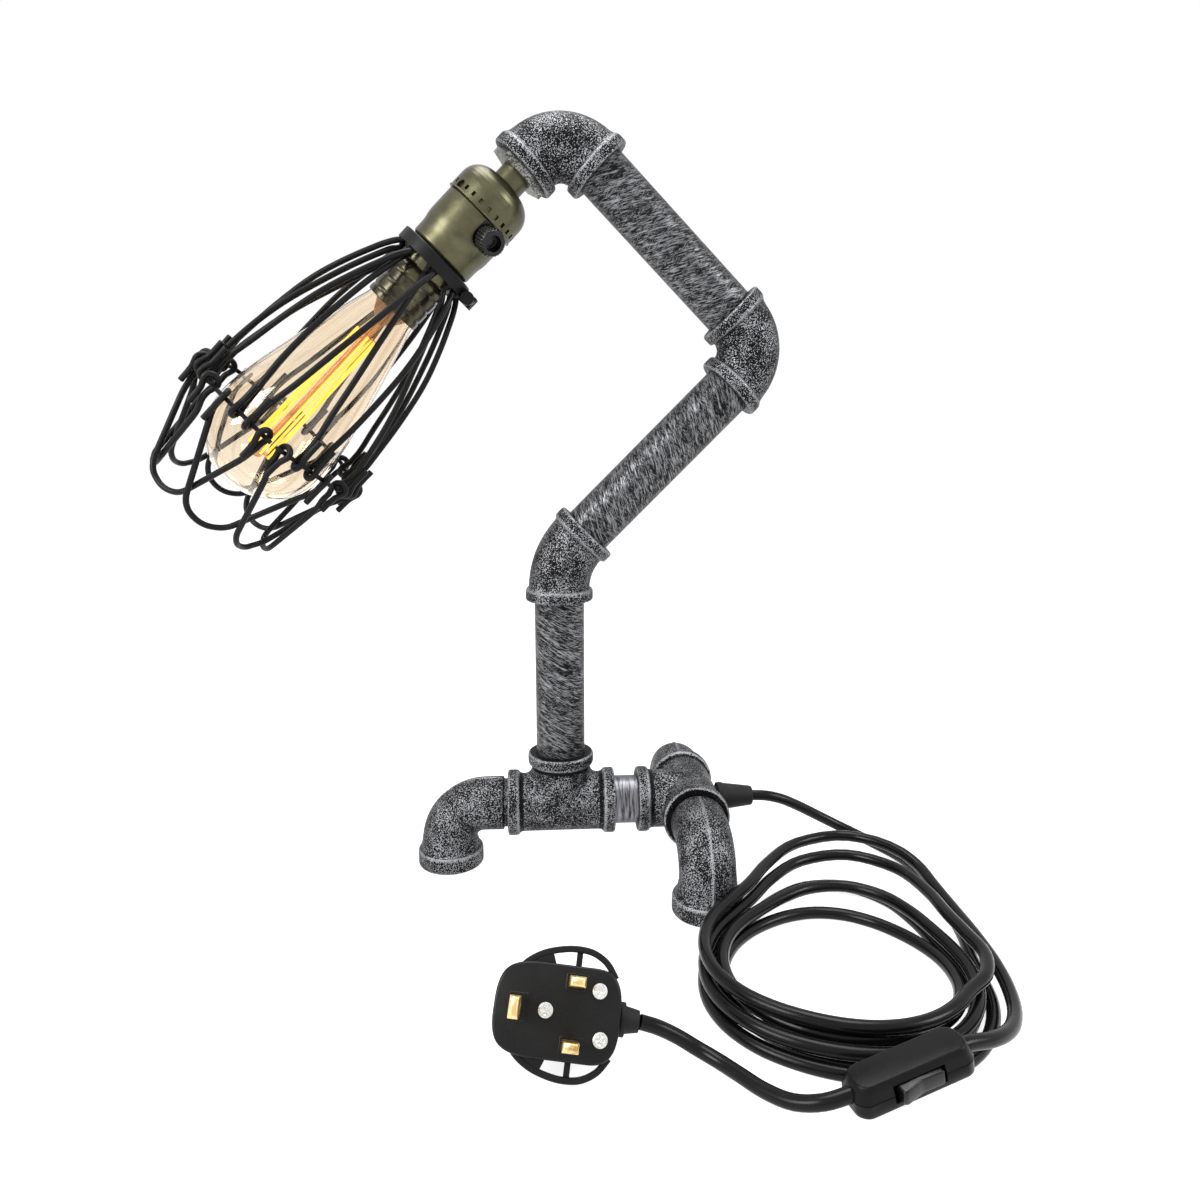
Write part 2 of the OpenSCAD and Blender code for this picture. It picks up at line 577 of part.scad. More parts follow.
// points of the right half in the petal's plane: [across, down, outwards, outwards on this side only]
function petal_half_path() = concat(
    [for (a = [15:15:90 - leg_ang]) let (x = petal_arc * sin(a)) [x, arc_q + petal_arc * cos(a), -twin, petal_out(x, arc_q)]],
    [for (s = [0.04, 0.3, 0.55, 0.8, 0.97])
        let (q = arc_q + petal_arc * sin(leg_ang) - s * leg_len * cos(leg_ang),
             x = petal_arc * cos(leg_ang) + s * leg_len * sin(leg_ang)) [x, q, -twin, petal_out(x, q)]],
    [for (h = hook_curve(14)) [petal_half, h[1], h[0], 0]]);
function petal_point(v, sign) = let (out = v[2] + sign * v[3])
    [sign * v[0], -(petal_line + out * cos(petal_lean) - v[1] * sin(petal_lean)),
     ring_z + v[1] * cos(petal_lean) + out * sin(petal_lean)];
petal_path = let (half = petal_half_path()) concat(
    [for (v = backwards(half)) petal_point(v, -1)], [petal_point([0, petal_long, -twin, 0], 1)],
    [for (v = half) petal_point(v, 1)]);

module petal(k) color(black) at_head() rotate([0, 0, cage_turn + 45 * k])
    tube(petal_path, wire_r, 8, [1, 0, 0]);

// ---------------------------------------------------------------- free cord, coil, switch and plug
rubber = [0.04, 0.04, 0.045];
table_z = flex_r;               // middle of a cord that lies on the table
cord_x = post_x + tee_step;     // the cord tee, from which the cord's places are measured
coil_mid = [cord_x + 48.2, -129.5];
coil_rings = 116;               // points along the coil
loops_per_turn = 24;
coil_from = -5;                 // angle where the coil starts
loose_at = 70;                  // angle where its turns lie farthest apart
layer_up = cord_d + 0.6;
switch_turn = 13.7;             // turn of the switch on the coil
switch_tilt = 10.2;             // its slope: one end is on the coil
switch_at = [cord_x + 48.6, -201.1, 9.2];
switch_len = 50;
switch_w = 16;
switch_h = 12;
switch_mid = 6;                 // height of the cord in the switch

// a route on the table, [x from the cord tee, y, z]
function route(p) = [for (v = p) v + [cord_x, 0, 0]];

// coil, clockwise from above; t counts turns: in, out again on top, then once more round on top of that
function spread(t) = t < 2 ? 2 - t : t < 4 ? t - 2
    : 2 - 1.5 * ease((t - 4) * 10) * (1 - ease((t - 4.3) * 3)) + 0.4 * ease((t - 4.66) * 6);
function turn_step(a) = coil_step + coil_loose * pow(max(0, cos(a - loose_at)), 6)
    + 2.6 * pow(max(0, cos(a + 75)), 4) + 3 * pow(max(0, cos(a - 205)), 4);
function coil_point(t) =
    let (a = coil_from - 360 * t, r = coil_r - 3 * pow(max(0, -sin(a)), 2) + turn_step(a) * spread(t),
         z = table_z + layer_up * (ease((t - 1.75) * 2) + ease((t - 3.6) * 2.5)))
    [coil_mid[0] + r * cos(a), coil_mid[1] + r * sin(a), z];
coil_path = [for (i = [0:coil_rings]) coil_point(i / loops_per_turn)];
coil_start = coil_point(0);
// from the coil's end down the right side to the switch
coil_tail = route([[115.5, -50, 14.2], [117.5, -68, 11.4], [118.6, -88, 9.8], [118.6, -109, 9.4], [117.4, -130, 9],
    [113.6, -150, 9], [107, -167, 10.4], [97.5, -180.5, 13.2], [85.5, -189.8, 16.8], [72.7, -194.9, 19.6]]);
coil_all = concat(coil_path, coil_tail);
// lead: out of the gland, down to the table and round to the coil
lead_points = concat(route([[37.1, 0, 34.5], [45, 0, 34], [54, 1, 31.5], [65, 3, 26], [77, 5, 19], [89, 5, 12.5],
    [100, 2, 7.5], [109, -4, 4.4], [116.5, -14, 3.1], [121, -27, table_z], [123, -42, table_z],
    [123, -60, table_z], [121, -80, table_z], [117.4, -102, table_z], [113, -119, table_z]]), [coil_start]);
// cord from the switch round the front of the coil to the plug
plug_lead = route([[24.3, -206.9, 10.7], [15, -207, 8.2], [5.5, -202.6, 5], [-3, -194.5, table_z + 0.4],
    [-10.5, -185, table_z], [-17.5, -176.6, table_z], [-25, -171.2, 4.8], [-33, -169.2, 9.2], [-40.5, -168.9, 13.2],
    [-47.1, -168.66, 15.55]]);

// least distance between points of a path that are over half a turn apart
function path_gap(p, apart) = min([for (i = [0:len(p) - 1], j = [i + apart:1:len(p) - 1]) norm(p[i] - p[j])]) - cord_d;
echo(coil_gap = path_gap(coil_all, loops_per_turn / 2));
function path_len(p) = let (d = [for (i = [1:len(p) - 1]) norm(p[i] - p[i - 1])]) d * [for (v = d) 1];
echo(lead_len = path_len(lead_points), coil_len = path_len(coil_all), plug_len = path_len(plug_lead));

module cord_lead() color(rubber) tube(lead_points, flex_r, 8, [0, 1, 0]);
module cord_coil() color(rubber) tube(coil_all, flex_r, 6, [0, 0, 1]);
module cord_plug() color(rubber) tube(plug_lead, flex_r, 8, [0, 0, 1]);

module at_switch() translate(switch_at) rotate([0, 0, switch_turn]) rotate([0, -switch_tilt, 0]) children();

// outline of the switch from above
module switch_outline(shrink) {
    w = switch_w / 2 - shrink;
    l = switch_len / 2 - shrink;
    polygon([[-l, -w + 3], [-l + 3, -w], [l - 3, -w], [l, -w + 3], [l, w - 3], [l - 3, w], [-l + 3, w], [-l, w - 3]]);
}
module switch_bore() translate([-switch_len, 0, switch_mid]) rotate([0, 90, 0]) cylinder(r = flex_r + 0.1, h = 2 * switch_len);
// opening in the long side for the rocker
module rocker_way(z) translate([-10.8, -switch_w / 2 - 2, z]) cube([21.6, 4.6, 9.2 - z]);

module switch_lower() color(rubber) at_switch() {
    difference() {
        linear_extrude(5.7) switch_outline(0);
        translate([0, 0, 1.4]) linear_extrude(8) switch_outline(1.5);
        switch_bore();
        rocker_way(2.6);
    }
    // pivot pin of the rocker
    translate([0, pivot_y, 1.2]) cylinder(r = 1, h = 9);
}

module switch_upper() color(rubber) at_switch() difference() {
    union() {
        translate([0, 0, 6]) linear_extrude(5) switch_outline(0);
        translate([0, 0, 10.9]) linear_extrude(switch_h - 10.9) switch_outline(1);
    }
    translate([0, 0, 5]) linear_extrude(5.4) switch_outline(1.5);
    switch_bore();
    rocker_way(5);
}

pivot_y = -4.9;
module switch_rocker() color([0.05, 0.05, 0.05]) at_switch() translate([0, pivot_y, 0]) {
    // turns on its own pin; one end stands out of the long side
    difference() {
        translate([0, 0, 3]) linear_extrude(5.8)
            polygon([[-9.4, -0.6], [-9, -6], [-1.5, -4.2], [0, -4], [9.2, -4.2], [9.4, -0.6], [3, 1.4], [-3, 1.4]]);
        translate([0, 0, 2]) cylinder(r = 1.05, h = 8);
    }
}

// plug, in its own frame: pins along +Z, cord along +X, pin face at z = 0
plug_at = [cord_x - 79.5, -173.5, 25.2];
plug_lean = 55;
plug_roll = -9;
plug_deep = 20;
module at_plug() translate(plug_at) rotate([plug_lean, 0, 0]) rotate([0, 0, plug_roll]) children();

plug_l = 24.5;
plug_w = 17;
module plug_outline(shrink) {
    l = plug_l - shrink;
    w = plug_w - shrink;
    polygon([[-l + 9, -w], [l - 6, -w], [l, -w + 7], [l, w - 7], [l - 6, w], [-l + 9, w], [-l, w - 8], [-l, -w + 8]]);
}
// loop grip at each long side, for a finger to pull the plug
module grip_outline() difference() {
    polygon([[-14, 10], [-12, 21.5], [-7, 24.5], [15, 24.5], [20, 21.5], [21, 10]]);
    polygon([[-8, plug_w + 0.2], [-7, 20.6], [-5, 21.6], [13, 21.6], [15.5, 20.4], [16, plug_w + 0.2]]);
}

module sleeve_hole() translate([10, 0, -9.5]) rotate([0, 90, 0]) cylinder(r = 5.05, h = 30);

module plug_base() color(rubber) at_plug() difference() {
    union() {
        translate([0, 0, -6]) linear_extrude(6) plug_outline(0);
        for (side = [0, 1]) mirror([0, side, 0]) translate([0, 0, -6]) linear_extrude(3.4) grip_outline();
    }
    translate([0, 0, -7]) linear_extrude(4.2) plug_outline(2);
    sleeve_hole();
    for (p = screw_places) translate([p[0], p[1], -8]) cylinder(r = 1.85, h = 12);
    translate([earth_x - 2.05, -4.05, -10]) cube([4.1, 8.1, 20]);
    for (side = [-1, 1]) translate([line_x - 3.2, side * 11.1 - 2.05, -10]) cube([6.4, 4.1, 20]);
}

module plug_cover() color(rubber) at_plug() difference() {
    union() {
        translate([0, 0, -14]) linear_extrude(7.9) plug_outline(0);
        translate([0, 0, -plug_deep]) linear_extrude(6.1) plug_outline(3);
    }
    translate([0, 0, -plug_deep + 2.2]) linear_extrude(30) plug_outline(5);
    sleeve_hole();
    for (p = screw_places) translate([p[0], p[1], -10]) cylinder(r = 1.85, h = 8);
}

earth_x = -16;
line_x = 6.2;
screw_places = [[-4.5, 0], [17.5, -8], [15.5, 9]];
brass = [0.78, 0.6, 0.28];

pin_in = 5.9;                   // how far the pins reach in behind the face
module pin_blade(x, y, wx, wy, long) translate([x - wx / 2, y - wy / 2, -pin_in])
    cube([wx, wy, long + pin_in]);

module earth_pin() color(brass) at_plug() pin_blade(earth_x, 0, 4, 8, 22.7);
module line_pins() color(brass) at_plug() for (side = [-1, 1]) pin_blade(line_x, side * 11.1, 6.3, 4, 17.7);

module plug_screws() color([0.7, 0.7, 0.68]) at_plug() for (p = screw_places) translate([p[0], p[1], 0])
    difference() {
        union() {
            translate([0, 0, -8.4]) cylinder(r = 1.8, h = 8.6);
            translate([0, 0, 0.05]) cylinder(r = 2.9, h = 1.2);
        }
        translate([-4, -0.4, 0.7]) cube([8, 0.8, 2]);
    }

module plug_sleeve() color(rubber) at_plug() difference() {
    translate([0, 0, -9.5]) rotate([0, 90, 0]) union() {
        translate([0, 0, 17]) cylinder(r = 5, h = 10);
        translate([0, 0, plug_l + 0.3]) cylinder(r = 6.4, h = 2);
        translate([0, 0, 26]) cylinder(r1 = 5, r2 = 4, h = 6.5);
    }
    translate([15, 0, -9.5]) rotate([0, 90, 0]) cylinder(r = flex_r + 0.1, h = 30);
}

base_tee();
cord_tee();
base_nipple();
left_foot_elbow();
front_foot_elbow();
back_foot_elbow();
cord_gland();
flex_base();
upright_pipe();
elbow_45();
flex_upright();
lower_pipe();
elbow_90();
flex_lower();
upper_pipe();
top_elbow();
hex_bush();
head_nipple();
flex_upper();
holder_cap();
lock_nut();
holder_shell();
shell_liner();
holder_core();
screw_shell();
centre_contact();
terminal_screws();
flex_head();
switch_stem();
switch_knob();
bulb_cap();
bulb_contact();
bulb_glass();
bulb_stem();
filament();
cage_collar();
clamp_screw();
clamp_nut();
cage_hairpins();
cage_rods();
petal(0);  // petal_1
petal(1);  // petal_2
petal(2);  // petal_3
petal(3);  // petal_4
petal(4);  // petal_5
petal(5);  // petal_6
petal(6);  // petal_7
petal(7);  // petal_8
cord_lead();
cord_coil();
cord_plug();
switch_lower();
switch_upper();
switch_rocker();
plug_base();
plug_cover();
earth_pin();
line_pins();
plug_screws();
plug_sleeve();
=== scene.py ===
# Table lamp of iron pipe and cast fittings, with a bronze lampholder, a wire cage, an amber bulb and a coiled
# cord.
# Metres, in the frame of the CAD model: +Z up, +X along the base towards the cord, +Y away from the viewer.
# Shapes are worked out in millimetres and turned to metres as each mesh is made.
import bpy
import numpy as np
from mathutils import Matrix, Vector


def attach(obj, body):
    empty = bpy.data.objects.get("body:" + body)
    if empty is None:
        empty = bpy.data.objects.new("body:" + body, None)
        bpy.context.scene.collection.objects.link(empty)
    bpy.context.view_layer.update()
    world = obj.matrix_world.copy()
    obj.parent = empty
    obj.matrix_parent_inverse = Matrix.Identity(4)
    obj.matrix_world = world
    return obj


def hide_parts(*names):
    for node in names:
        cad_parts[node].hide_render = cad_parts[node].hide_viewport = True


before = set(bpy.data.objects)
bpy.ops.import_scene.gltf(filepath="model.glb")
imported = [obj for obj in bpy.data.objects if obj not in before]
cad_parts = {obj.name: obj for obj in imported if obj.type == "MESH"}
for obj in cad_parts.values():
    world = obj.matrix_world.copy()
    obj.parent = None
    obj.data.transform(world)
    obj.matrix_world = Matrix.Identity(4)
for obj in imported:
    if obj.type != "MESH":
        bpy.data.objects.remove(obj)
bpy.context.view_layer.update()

MM = 0.001

# ------------------------------------------------------------------ camera and studio
# A wide lens stands half a metre in front of the lamp, a little above its middle, and looks down at the table.
# Table and wall are one white sweep, lit by large soft lamps at the left, at the right and from above.
stage_camera = bpy.data.objects.new("camera", bpy.data.cameras.new("camera"))
stage_camera.data.lens = 27.0
stage_camera.data.sensor_width = 36.0
stage_camera.data.clip_start = 0.01
stage_camera.location = (0.0335, -0.4808, 0.2478)
stage_camera.rotation_euler = Vector((0.0689, 0.978, -0.1973)).to_track_quat("-Z", "Y").to_euler()
bpy.context.scene.collection.objects.link(stage_camera)
bpy.context.scene.camera = stage_camera
bpy.context.scene.view_settings.view_transform = "Standard"


def soft_lamp(name, place, aim, size, watts):
    """A square lamp of one size, at a place, turned to face an aim point."""
    lamp = bpy.data.lights.new(name, "AREA")
    lamp.size, lamp.energy = size, watts
    holder = bpy.data.objects.new(name, lamp)
    holder.location = place
    holder.rotation_euler = (Vector(aim) - Vector(place)).to_track_quat("-Z", "Y").to_euler()
    bpy.context.scene.collection.objects.link(holder)


soft_lamp("lamp_left", (-1.1, -0.9, 1.0), (0, 0, 0.2), 0.7, 21)
soft_lamp("lamp_right", (1.2, -0.5, 0.8), (0, 0, 0.2), 0.5, 8)
soft_lamp("lamp_above", (0.1, 0.2, 1.5), (0, 0, 0.1), 0.9, 17)


class Wiring:
    """Adds shader nodes to one tree. A call takes sockets or plain values, and gives back what comes out."""

    def __init__(self, tree):
        self.tree = tree

    def node(self, kind, **settings):
        n = self.tree.nodes.new(kind)
        for key, value in settings.items():
            setattr(n, key, value)
        return n

    def feed(self, socket, value):
        if isinstance(value, bpy.types.NodeSocket):
            self.tree.links.new(value, socket)
        else:
            socket.default_value = value

    def fill(self, node, **values):
        """Feeds a node's inputs by name, and gives back all its outputs."""
        for key, value in values.items():
            self.feed(node.inputs[key.replace("_", " ")], value)
        return node.outputs

    def row(self, node, *values):
        """Feeds a node's inputs in their order, and gives back its first output."""
        for socket, value in zip(node.inputs, values):
            self.feed(socket, value)
        return node.outputs[0]

    def math(self, operation, *values):
        return self.row(self.node("ShaderNodeMath", operation=operation), *values)

    def span(self, value, low, high, to_low=0.0, to_high=1.0):
        """A value carried from one span to another and held at its ends."""
        return self.row(self.node("ShaderNodeMapRange"), value, low, high, to_low, to_high)

    def noise(self, vector, scale, detail=2.0, roughness=0.5):
        return self.fill(self.node("ShaderNodeTexNoise"), Vector=vector, Scale=scale, Detail=detail,
                         Roughness=roughness)[0]

    def stretch(self, vector, scale, turn=(0, 0, 0)):
        """A vector turned back by a turn and then made longer or shorter along each axis."""
        return self.fill(self.node("ShaderNodeMapping", vector_type="TEXTURE"), Vector=vector,
                         Scale=[1 / v for v in scale], Rotation=turn)[0]

    def blend(self, share, first, second):
        n = self.node("ShaderNodeMix", data_type="RGBA")
        for socket, v in zip((n.inputs[0], n.inputs[6], n.inputs[7]), (share, first, second)):
            self.feed(socket, v)
        return n.outputs[2]

    def bump(self, height, distance, strength=1.0):
        return self.fill(self.node("ShaderNodeBump"), Height=height, Distance=distance, Strength=strength)[0]

    def place(self):
        """Object coordinates in millimetres."""
        return self.stretch(self.node("ShaderNodeTexCoord").outputs["Object"], (1000, 1000, 1000))

    def painted(self, name, output="Fac"):
        """A value that the mesh carries at each vertex."""
        return self.node("ShaderNodeAttribute", attribute_name=name).outputs[output]

    def use(self, group, **values):
        """Places a node group, with its inputs by name."""
        return self.fill(self.node("ShaderNodeGroup", node_tree=group), **values)

    def front(self, low):
        """Painted shade by view angle: 1 where a surface is seen square on, falling to a low value at its
        outline.
        Multiplied into a colour, it darkens that colour towards the outline as a painted reflection of dark
        surroundings.
        """
        return self.span(self.node("ShaderNodeLayerWeight").outputs["Facing"], 0.3, 0.95, 1.0, low)

    def seen(self):
        """1 where the camera, a reflection or a look through glass meets the surface, else 0."""
        path = self.node("ShaderNodeLightPath")
        return self.math("MAXIMUM", path.outputs["Is Camera Ray"], self.math(
            "MAXIMUM", path.outputs["Is Glossy Ray"], path.outputs["Is Transmission Ray"]))


def wiring(owner):
    """The wiring of a material or world, emptied first."""
    owner.use_nodes = True
    owner.node_tree.nodes.clear()
    return Wiring(owner.node_tree)


def finish_of(name):
    """A new material with a Principled shader: the material, its wiring and the shader."""
    finish = bpy.data.materials.new(name)
    w = wiring(finish)
    shader = w.node("ShaderNodeBsdfPrincipled")
    w.feed(w.node("ShaderNodeOutputMaterial").inputs[0], shader.outputs[0])
    return finish, w, shader


def effect(name, inputs, outputs):
    """A new shader node group: the group, its wiring, its input sockets and the node that takes its outputs."""
    tree = bpy.data.node_groups.new(name, "ShaderNodeTree")
    for side, sockets in (("INPUT", inputs), ("OUTPUT", outputs)):
        for label, kind in sockets.items():
            tree.interface.new_socket(name=label, in_out=side, socket_type="NodeSocket" + kind)
    w = Wiring(tree)
    return tree, w, w.node("NodeGroupInput").outputs, w.node("NodeGroupOutput")


world = bpy.data.worlds.new("studio")
bpy.context.scene.world = world
w = wiring(world)
dim, white = w.node("ShaderNodeBackground"), w.node("ShaderNodeBackground")
w.fill(dim, Color=(1, 1, 1, 1), Strength=0.32)
w.fill(white, Color=(1, 1, 1, 1))
sky = w.row(w.node("ShaderNodeMixShader"), w.seen(), dim.outputs[0], white.outputs[0])
w.feed(w.node("ShaderNodeOutputWorld").inputs[0], sky)

table_mesh = bpy.data.meshes.new("table_top")
table_mesh.from_pydata([(-6, -6, 0), (6, -6, 0), (6, 6, 0), (-6, 6, 0)], [], [(0, 1, 2, 3)])
table_top = bpy.data.objects.new("table_top", table_mesh)
table_top.location.z = -0.0002
bpy.context.scene.collection.objects.link(table_top)
table_white = bpy.data.materials.new("table_white")
table_mesh.materials.append(table_white)
w = wiring(table_white)
matt, glow = w.node("ShaderNodeBsdfDiffuse"), w.node("ShaderNodeEmission")
w.fill(matt, Color=(0.5, 0.5, 0.5, 1))
w.fill(glow, Strength=w.math("MULTIPLY", w.seen(), 0.86))
both = w.row(w.node("ShaderNodeAddShader"), matt.outputs[0], glow.outputs[0])
w.feed(w.node("ShaderNodeOutputMaterial").inputs[0], both)

# ------------------------------------------------------------------ mains cord
# A round cord, 6 mm thick, of black PVC with a soft gloss. It leaves the back of the base, runs down to the
# table, lies in a coil of five loops, goes through the in-line switch and ends in the plug: one smooth curve
# over points on the cord's middle.
post_x = 45.2                       # upright pipe, from the middle of the lamp
cord_x = post_x + 73.0              # the tee that the cord leaves
cord_d = 6.0
coil_mid = (cord_x + 48.2, -129.5)
coil_from, loops_per_turn, coil_points = -5.0, 24, 116
coil_r, turn_step, back_step = 49.0, 6.5, 23.0      # hollow radius, step between turns, more of it at the back


def ease(x):
    """0 below 0, 1 above 1, and between them an S-shaped cubic."""
    c = np.clip(x, 0, 1)
    return c * c * (3 - 2 * c)


def coil_line(t):
    """Points of the coil after t turns: the distance from the middle is a hollow radius plus one step for each
    turn farther out. The turns go in, out again on top of those and once more round, and spread at the back."""
    a = coil_from - 360 * t
    cos_at = lambda d: np.maximum(0, np.cos(np.radians(a - d)))
    last = 2 - 1.5 * ease((t - 4) * 10) * (1 - ease((t - 4.3) * 3)) + 0.4 * ease((t - 4.66) * 6)
    farther = np.where(t < 2, 2 - t, np.where(t < 4, t - 2, last))
    step = turn_step + back_step * cos_at(70) ** 6 + 2.6 * cos_at(-75) ** 4 + 3 * cos_at(205) ** 4
    r = coil_r - 3 * cos_at(-90) ** 2 + step * farther
    z = cord_d / 2 + 6.6 * (ease((t - 1.75) * 2) + ease((t - 3.6) * 2.5))
    return np.stack([coil_mid[0] + r * np.cos(np.radians(a)), coil_mid[1] + r * np.sin(np.radians(a)), z], 1)


def from_tee(*points):
    """Points given from the cord's tee, moved to the lamp's own middle."""
    return np.array(points, float) + [cord_x, 0, 0]


cord_line = np.vstack([
    from_tee([37.1, 0, 34.5], [45, 0, 34], [54, 1, 31.5], [65, 3, 26], [77, 5, 19], [89, 5, 12.5],
             [100, 2, 7.5], [109, -4, 4.4], [116.5, -14, 3.1], [121, -27, 3], [123, -42, 3], [123, -60, 3],
             [121, -80, 3], [117.4, -102, 3], [113, -119, 3]),
    coil_line(np.arange(coil_points + 1) / loops_per_turn),
    from_tee([115.5, -50, 14.2], [117.5, -68, 11.4], [118.6, -88, 9.8], [118.6, -109, 9.4], [117.4, -130, 9],
             [113.6, -150, 9], [107, -167, 10.4], [97.5, -180.5, 13.2], [85.5, -189.8, 16.8],
             [72.7, -194.9, 19.6]),
    from_tee([24.3, -206.9, 10.7], [15, -207, 8.2], [5.5, -202.6, 5], [-3, -194.5, 3.4], [-10.5, -185, 3],
             [-17.5, -176.6, 3], [-25, -171.2, 4.8], [-33, -169.2, 9.2], [-40.5, -168.9, 13.2],
             [-47.1, -168.66, 15.55])])


def unit(v):
    """Each row made one long."""
    return v / np.linalg.norm(v, axis=-1, keepdims=True)


def through(points, steps):
    """A smooth line through points: between two of them, a cubic whose ends run as both neighbours do."""
    p = np.asarray(points, float)
    d = np.linalg.norm(np.diff(p, axis=0), axis=1)[:, None]
    slope = np.diff(p, axis=0) / d
    m = np.vstack([slope[:1], (slope[:-1] * d[1:] + slope[1:] * d[:-1]) / (d[1:] + d[:-1]), slope[-1:]])
    s = np.linspace(0, 1, steps, endpoint=False)[None, :, None]
    a, b, ma, mb = p[:-1, None], p[1:, None], m[:-1, None] * d[:, None], m[1:, None] * d[:, None]
    cubic = ((2 * s ** 3 - 3 * s ** 2 + 1) * a + (s ** 3 - 2 * s ** 2 + s) * ma
             + (3 * s ** 2 - 2 * s ** 3) * b + (s ** 3 - s ** 2) * mb)
    return np.vstack([cubic.reshape(-1, p.shape[1]), p[-1:]])


def wire_shell(points, across, radius, around=14, fine=4):
    """A round wire with square-cut ends along a smooth line. Each circle is set square to the line by the
    shortest turn from one fixed direction, which the line never runs against."""
    p = through(points, fine)
    t = unit(np.gradient(p, axis=0))
    e = unit(np.array(across, float))
    u = unit(np.cross(e, [0.0, 0.0, 1.0] if abs(e[2]) < 0.9 else [1.0, 0.0, 0.0]))
    v = np.cross(e, u)
    lift = (t + e) / (1 + t @ e)[:, None]
    u, v = u - (t @ u)[:, None] * lift, v - (t @ v)[:, None] * lift
    a = 2 * np.pi * np.arange(around)[None, :, None] / around
    line = np.concatenate([p[:1], p, p[-1:]])
    r = np.full((len(line), 1, 1), radius)
    r[0] = r[-1] = radius - 0.25        # the cut ends are a little smaller, for a soft edge
    line[1] += t[0] * 0.2
    line[-2] -= t[-1] * 0.2
    u, v = (np.concatenate([g[:1], g, g[-1:]])[:, None] for g in (u, v))
    return line[:, None] + r * (np.cos(a) * u + np.sin(a) * v)


def skin(grid, ring=False, own=None, wear=0.0):
    """One closed shell over a grid of points [along, around, 3]. Rows close round on themselves. The first and
    last rows are joined to each other for a ring, and are each closed with a flat face if not. own holds a
    place for each point in its piece's own frame, and wear how worn it is."""
    n, m = grid.shape[:2]
    index = np.arange(n * m).reshape(n, m)
    rows = np.vstack([index, index[:1]]) if ring else index
    a, b = rows[:-1], rows[1:]
    quads = np.stack([a, np.roll(a, -1, 1), np.roll(b, -1, 1), b], 2).reshape(-1, 4)
    p = grid.reshape(-1, 3)
    caps = [] if ring else [index[0][::-1], index[-1]]
    fans = [np.stack([np.full(m - 2, c[0]), c[1:-1], c[2:]], 1) for c in caps]
    one, two, three = p[np.vstack([quads[:, :3], quads[:, [0, 2, 3]]] + fans)].swapaxes(0, 1)
    if (one * np.cross(two, three)).sum() < 0:      # six times the volume: below 0, the faces point inwards
        quads, caps = quads[:, ::-1], [c[::-1] for c in caps]
    own = p if own is None else np.broadcast_to(own, grid.shape).reshape(-1, 3)
    return p, quads, caps, own, np.broadcast_to(wear, (n, m)).reshape(-1)


def make(name, shells, finish, body, stands_for, sharp=38):
    """A piece of one or more closed shells in millimetres, smooth apart from edges sharper than an angle."""
    points, own, wear = (np.concatenate([s[k] for s in shells]) for k in (0, 3, 4))
    sizes = np.cumsum([0] + [len(s[0]) for s in shells])
    faces = [f for s, k in zip(shells, sizes) for f in (s[1] + k).tolist() + [(c + k).tolist() for c in s[2]]]
    mesh = bpy.data.meshes.new(name)
    mesh.from_pydata((points * MM).tolist(), [], faces)
    for label, kind, field, v in (("own", "FLOAT_VECTOR", "vector", own), ("wear", "FLOAT", "value", wear)):
        mesh.attributes.new(label, kind, "POINT").data.foreach_set(field, v.astype(np.float32).ravel())
    mesh.shade_smooth()
    mesh.set_sharp_from_angle(angle=np.radians(sharp))
    mesh.materials.append(finish)
    piece = bpy.data.objects.new(name, mesh)
    bpy.context.scene.collection.objects.link(piece)
    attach(piece, body)
    if stands_for:
        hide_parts(*stands_for)
    return piece


# Moulded or painted skin, shared by the cord, switch, plug, knob and wires: a fine grain, and a drift of gloss
# from handling.
moulded_skin, w, given, result = effect(
    "moulded_skin", {"Coords": "Vector", "Grain": "Float", "Drift": "Float", "Low": "Float", "High": "Float"},
    {"Roughness": "Float", "Height": "Float"})
drift = w.noise(given["Coords"], given["Drift"], 3.0)
w.fill(result, Roughness=w.span(drift, 0.32, 0.68, given["Low"], given["High"]),
       Height=w.noise(given["Coords"], given["Grain"], 2.0))


def moulded(name, grain, drift, low, high, dark, light=None, specular=0.5, deep=None, strength=0.6):
    """A finish with the moulded skin: its scale of grain and drift, its lowest and highest roughness, one
    colour or two that follow the grain, and a bump so many metres deep."""
    finish, w, shader = finish_of(name)
    look = w.use(moulded_skin, Coords=w.place(), Grain=grain, Drift=drift, Low=low, High=high)
    w.fill(shader, Base_Color=w.blend(look["Height"], dark, light) if light else dark,
           Roughness=look["Roughness"], Specular_IOR_Level=specular)
    if deep:
        w.fill(shader, Normal=w.bump(look["Height"], deep, strength))
    return finish


cord_black = moulded("cord_black", 1.6, 0.06, 0.16, 0.3, (0.004, 0.004, 0.0045, 1), specular=0.17, deep=0.00003)
mains_cord = make("mains_cord", [skin(wire_shell(cord_line, (0, 0, 1), cord_d / 2, 20))], cord_black, "base",
                  ["cord_lead", "cord_coil", "cord_plug"])

# ------------------------------------------------------------------ base tees
# Two equal tees of black malleable iron, cast, with a rounded band at each mouth and a smooth fillet between
# run and branch. The first carries the upright pipe, the second lies with its branch towards the first and has
# the cord's gland in its back.
pipe_r, band_r, body_r, way_r, band_w = 13.45, 18.25, 16.2, 10.0, 6.0
tee_reach, axis_h, mouth_depth = 30.0, 34.5, 14.0
mouth_r = pipe_r + 0.05
band_soft = [0.3, 1.5, 1.5, 0.8, 1.5]       # how far each corner of a band's outline is rounded
band_edge = body_r + 0.7                    # the radius past which a point is on the band


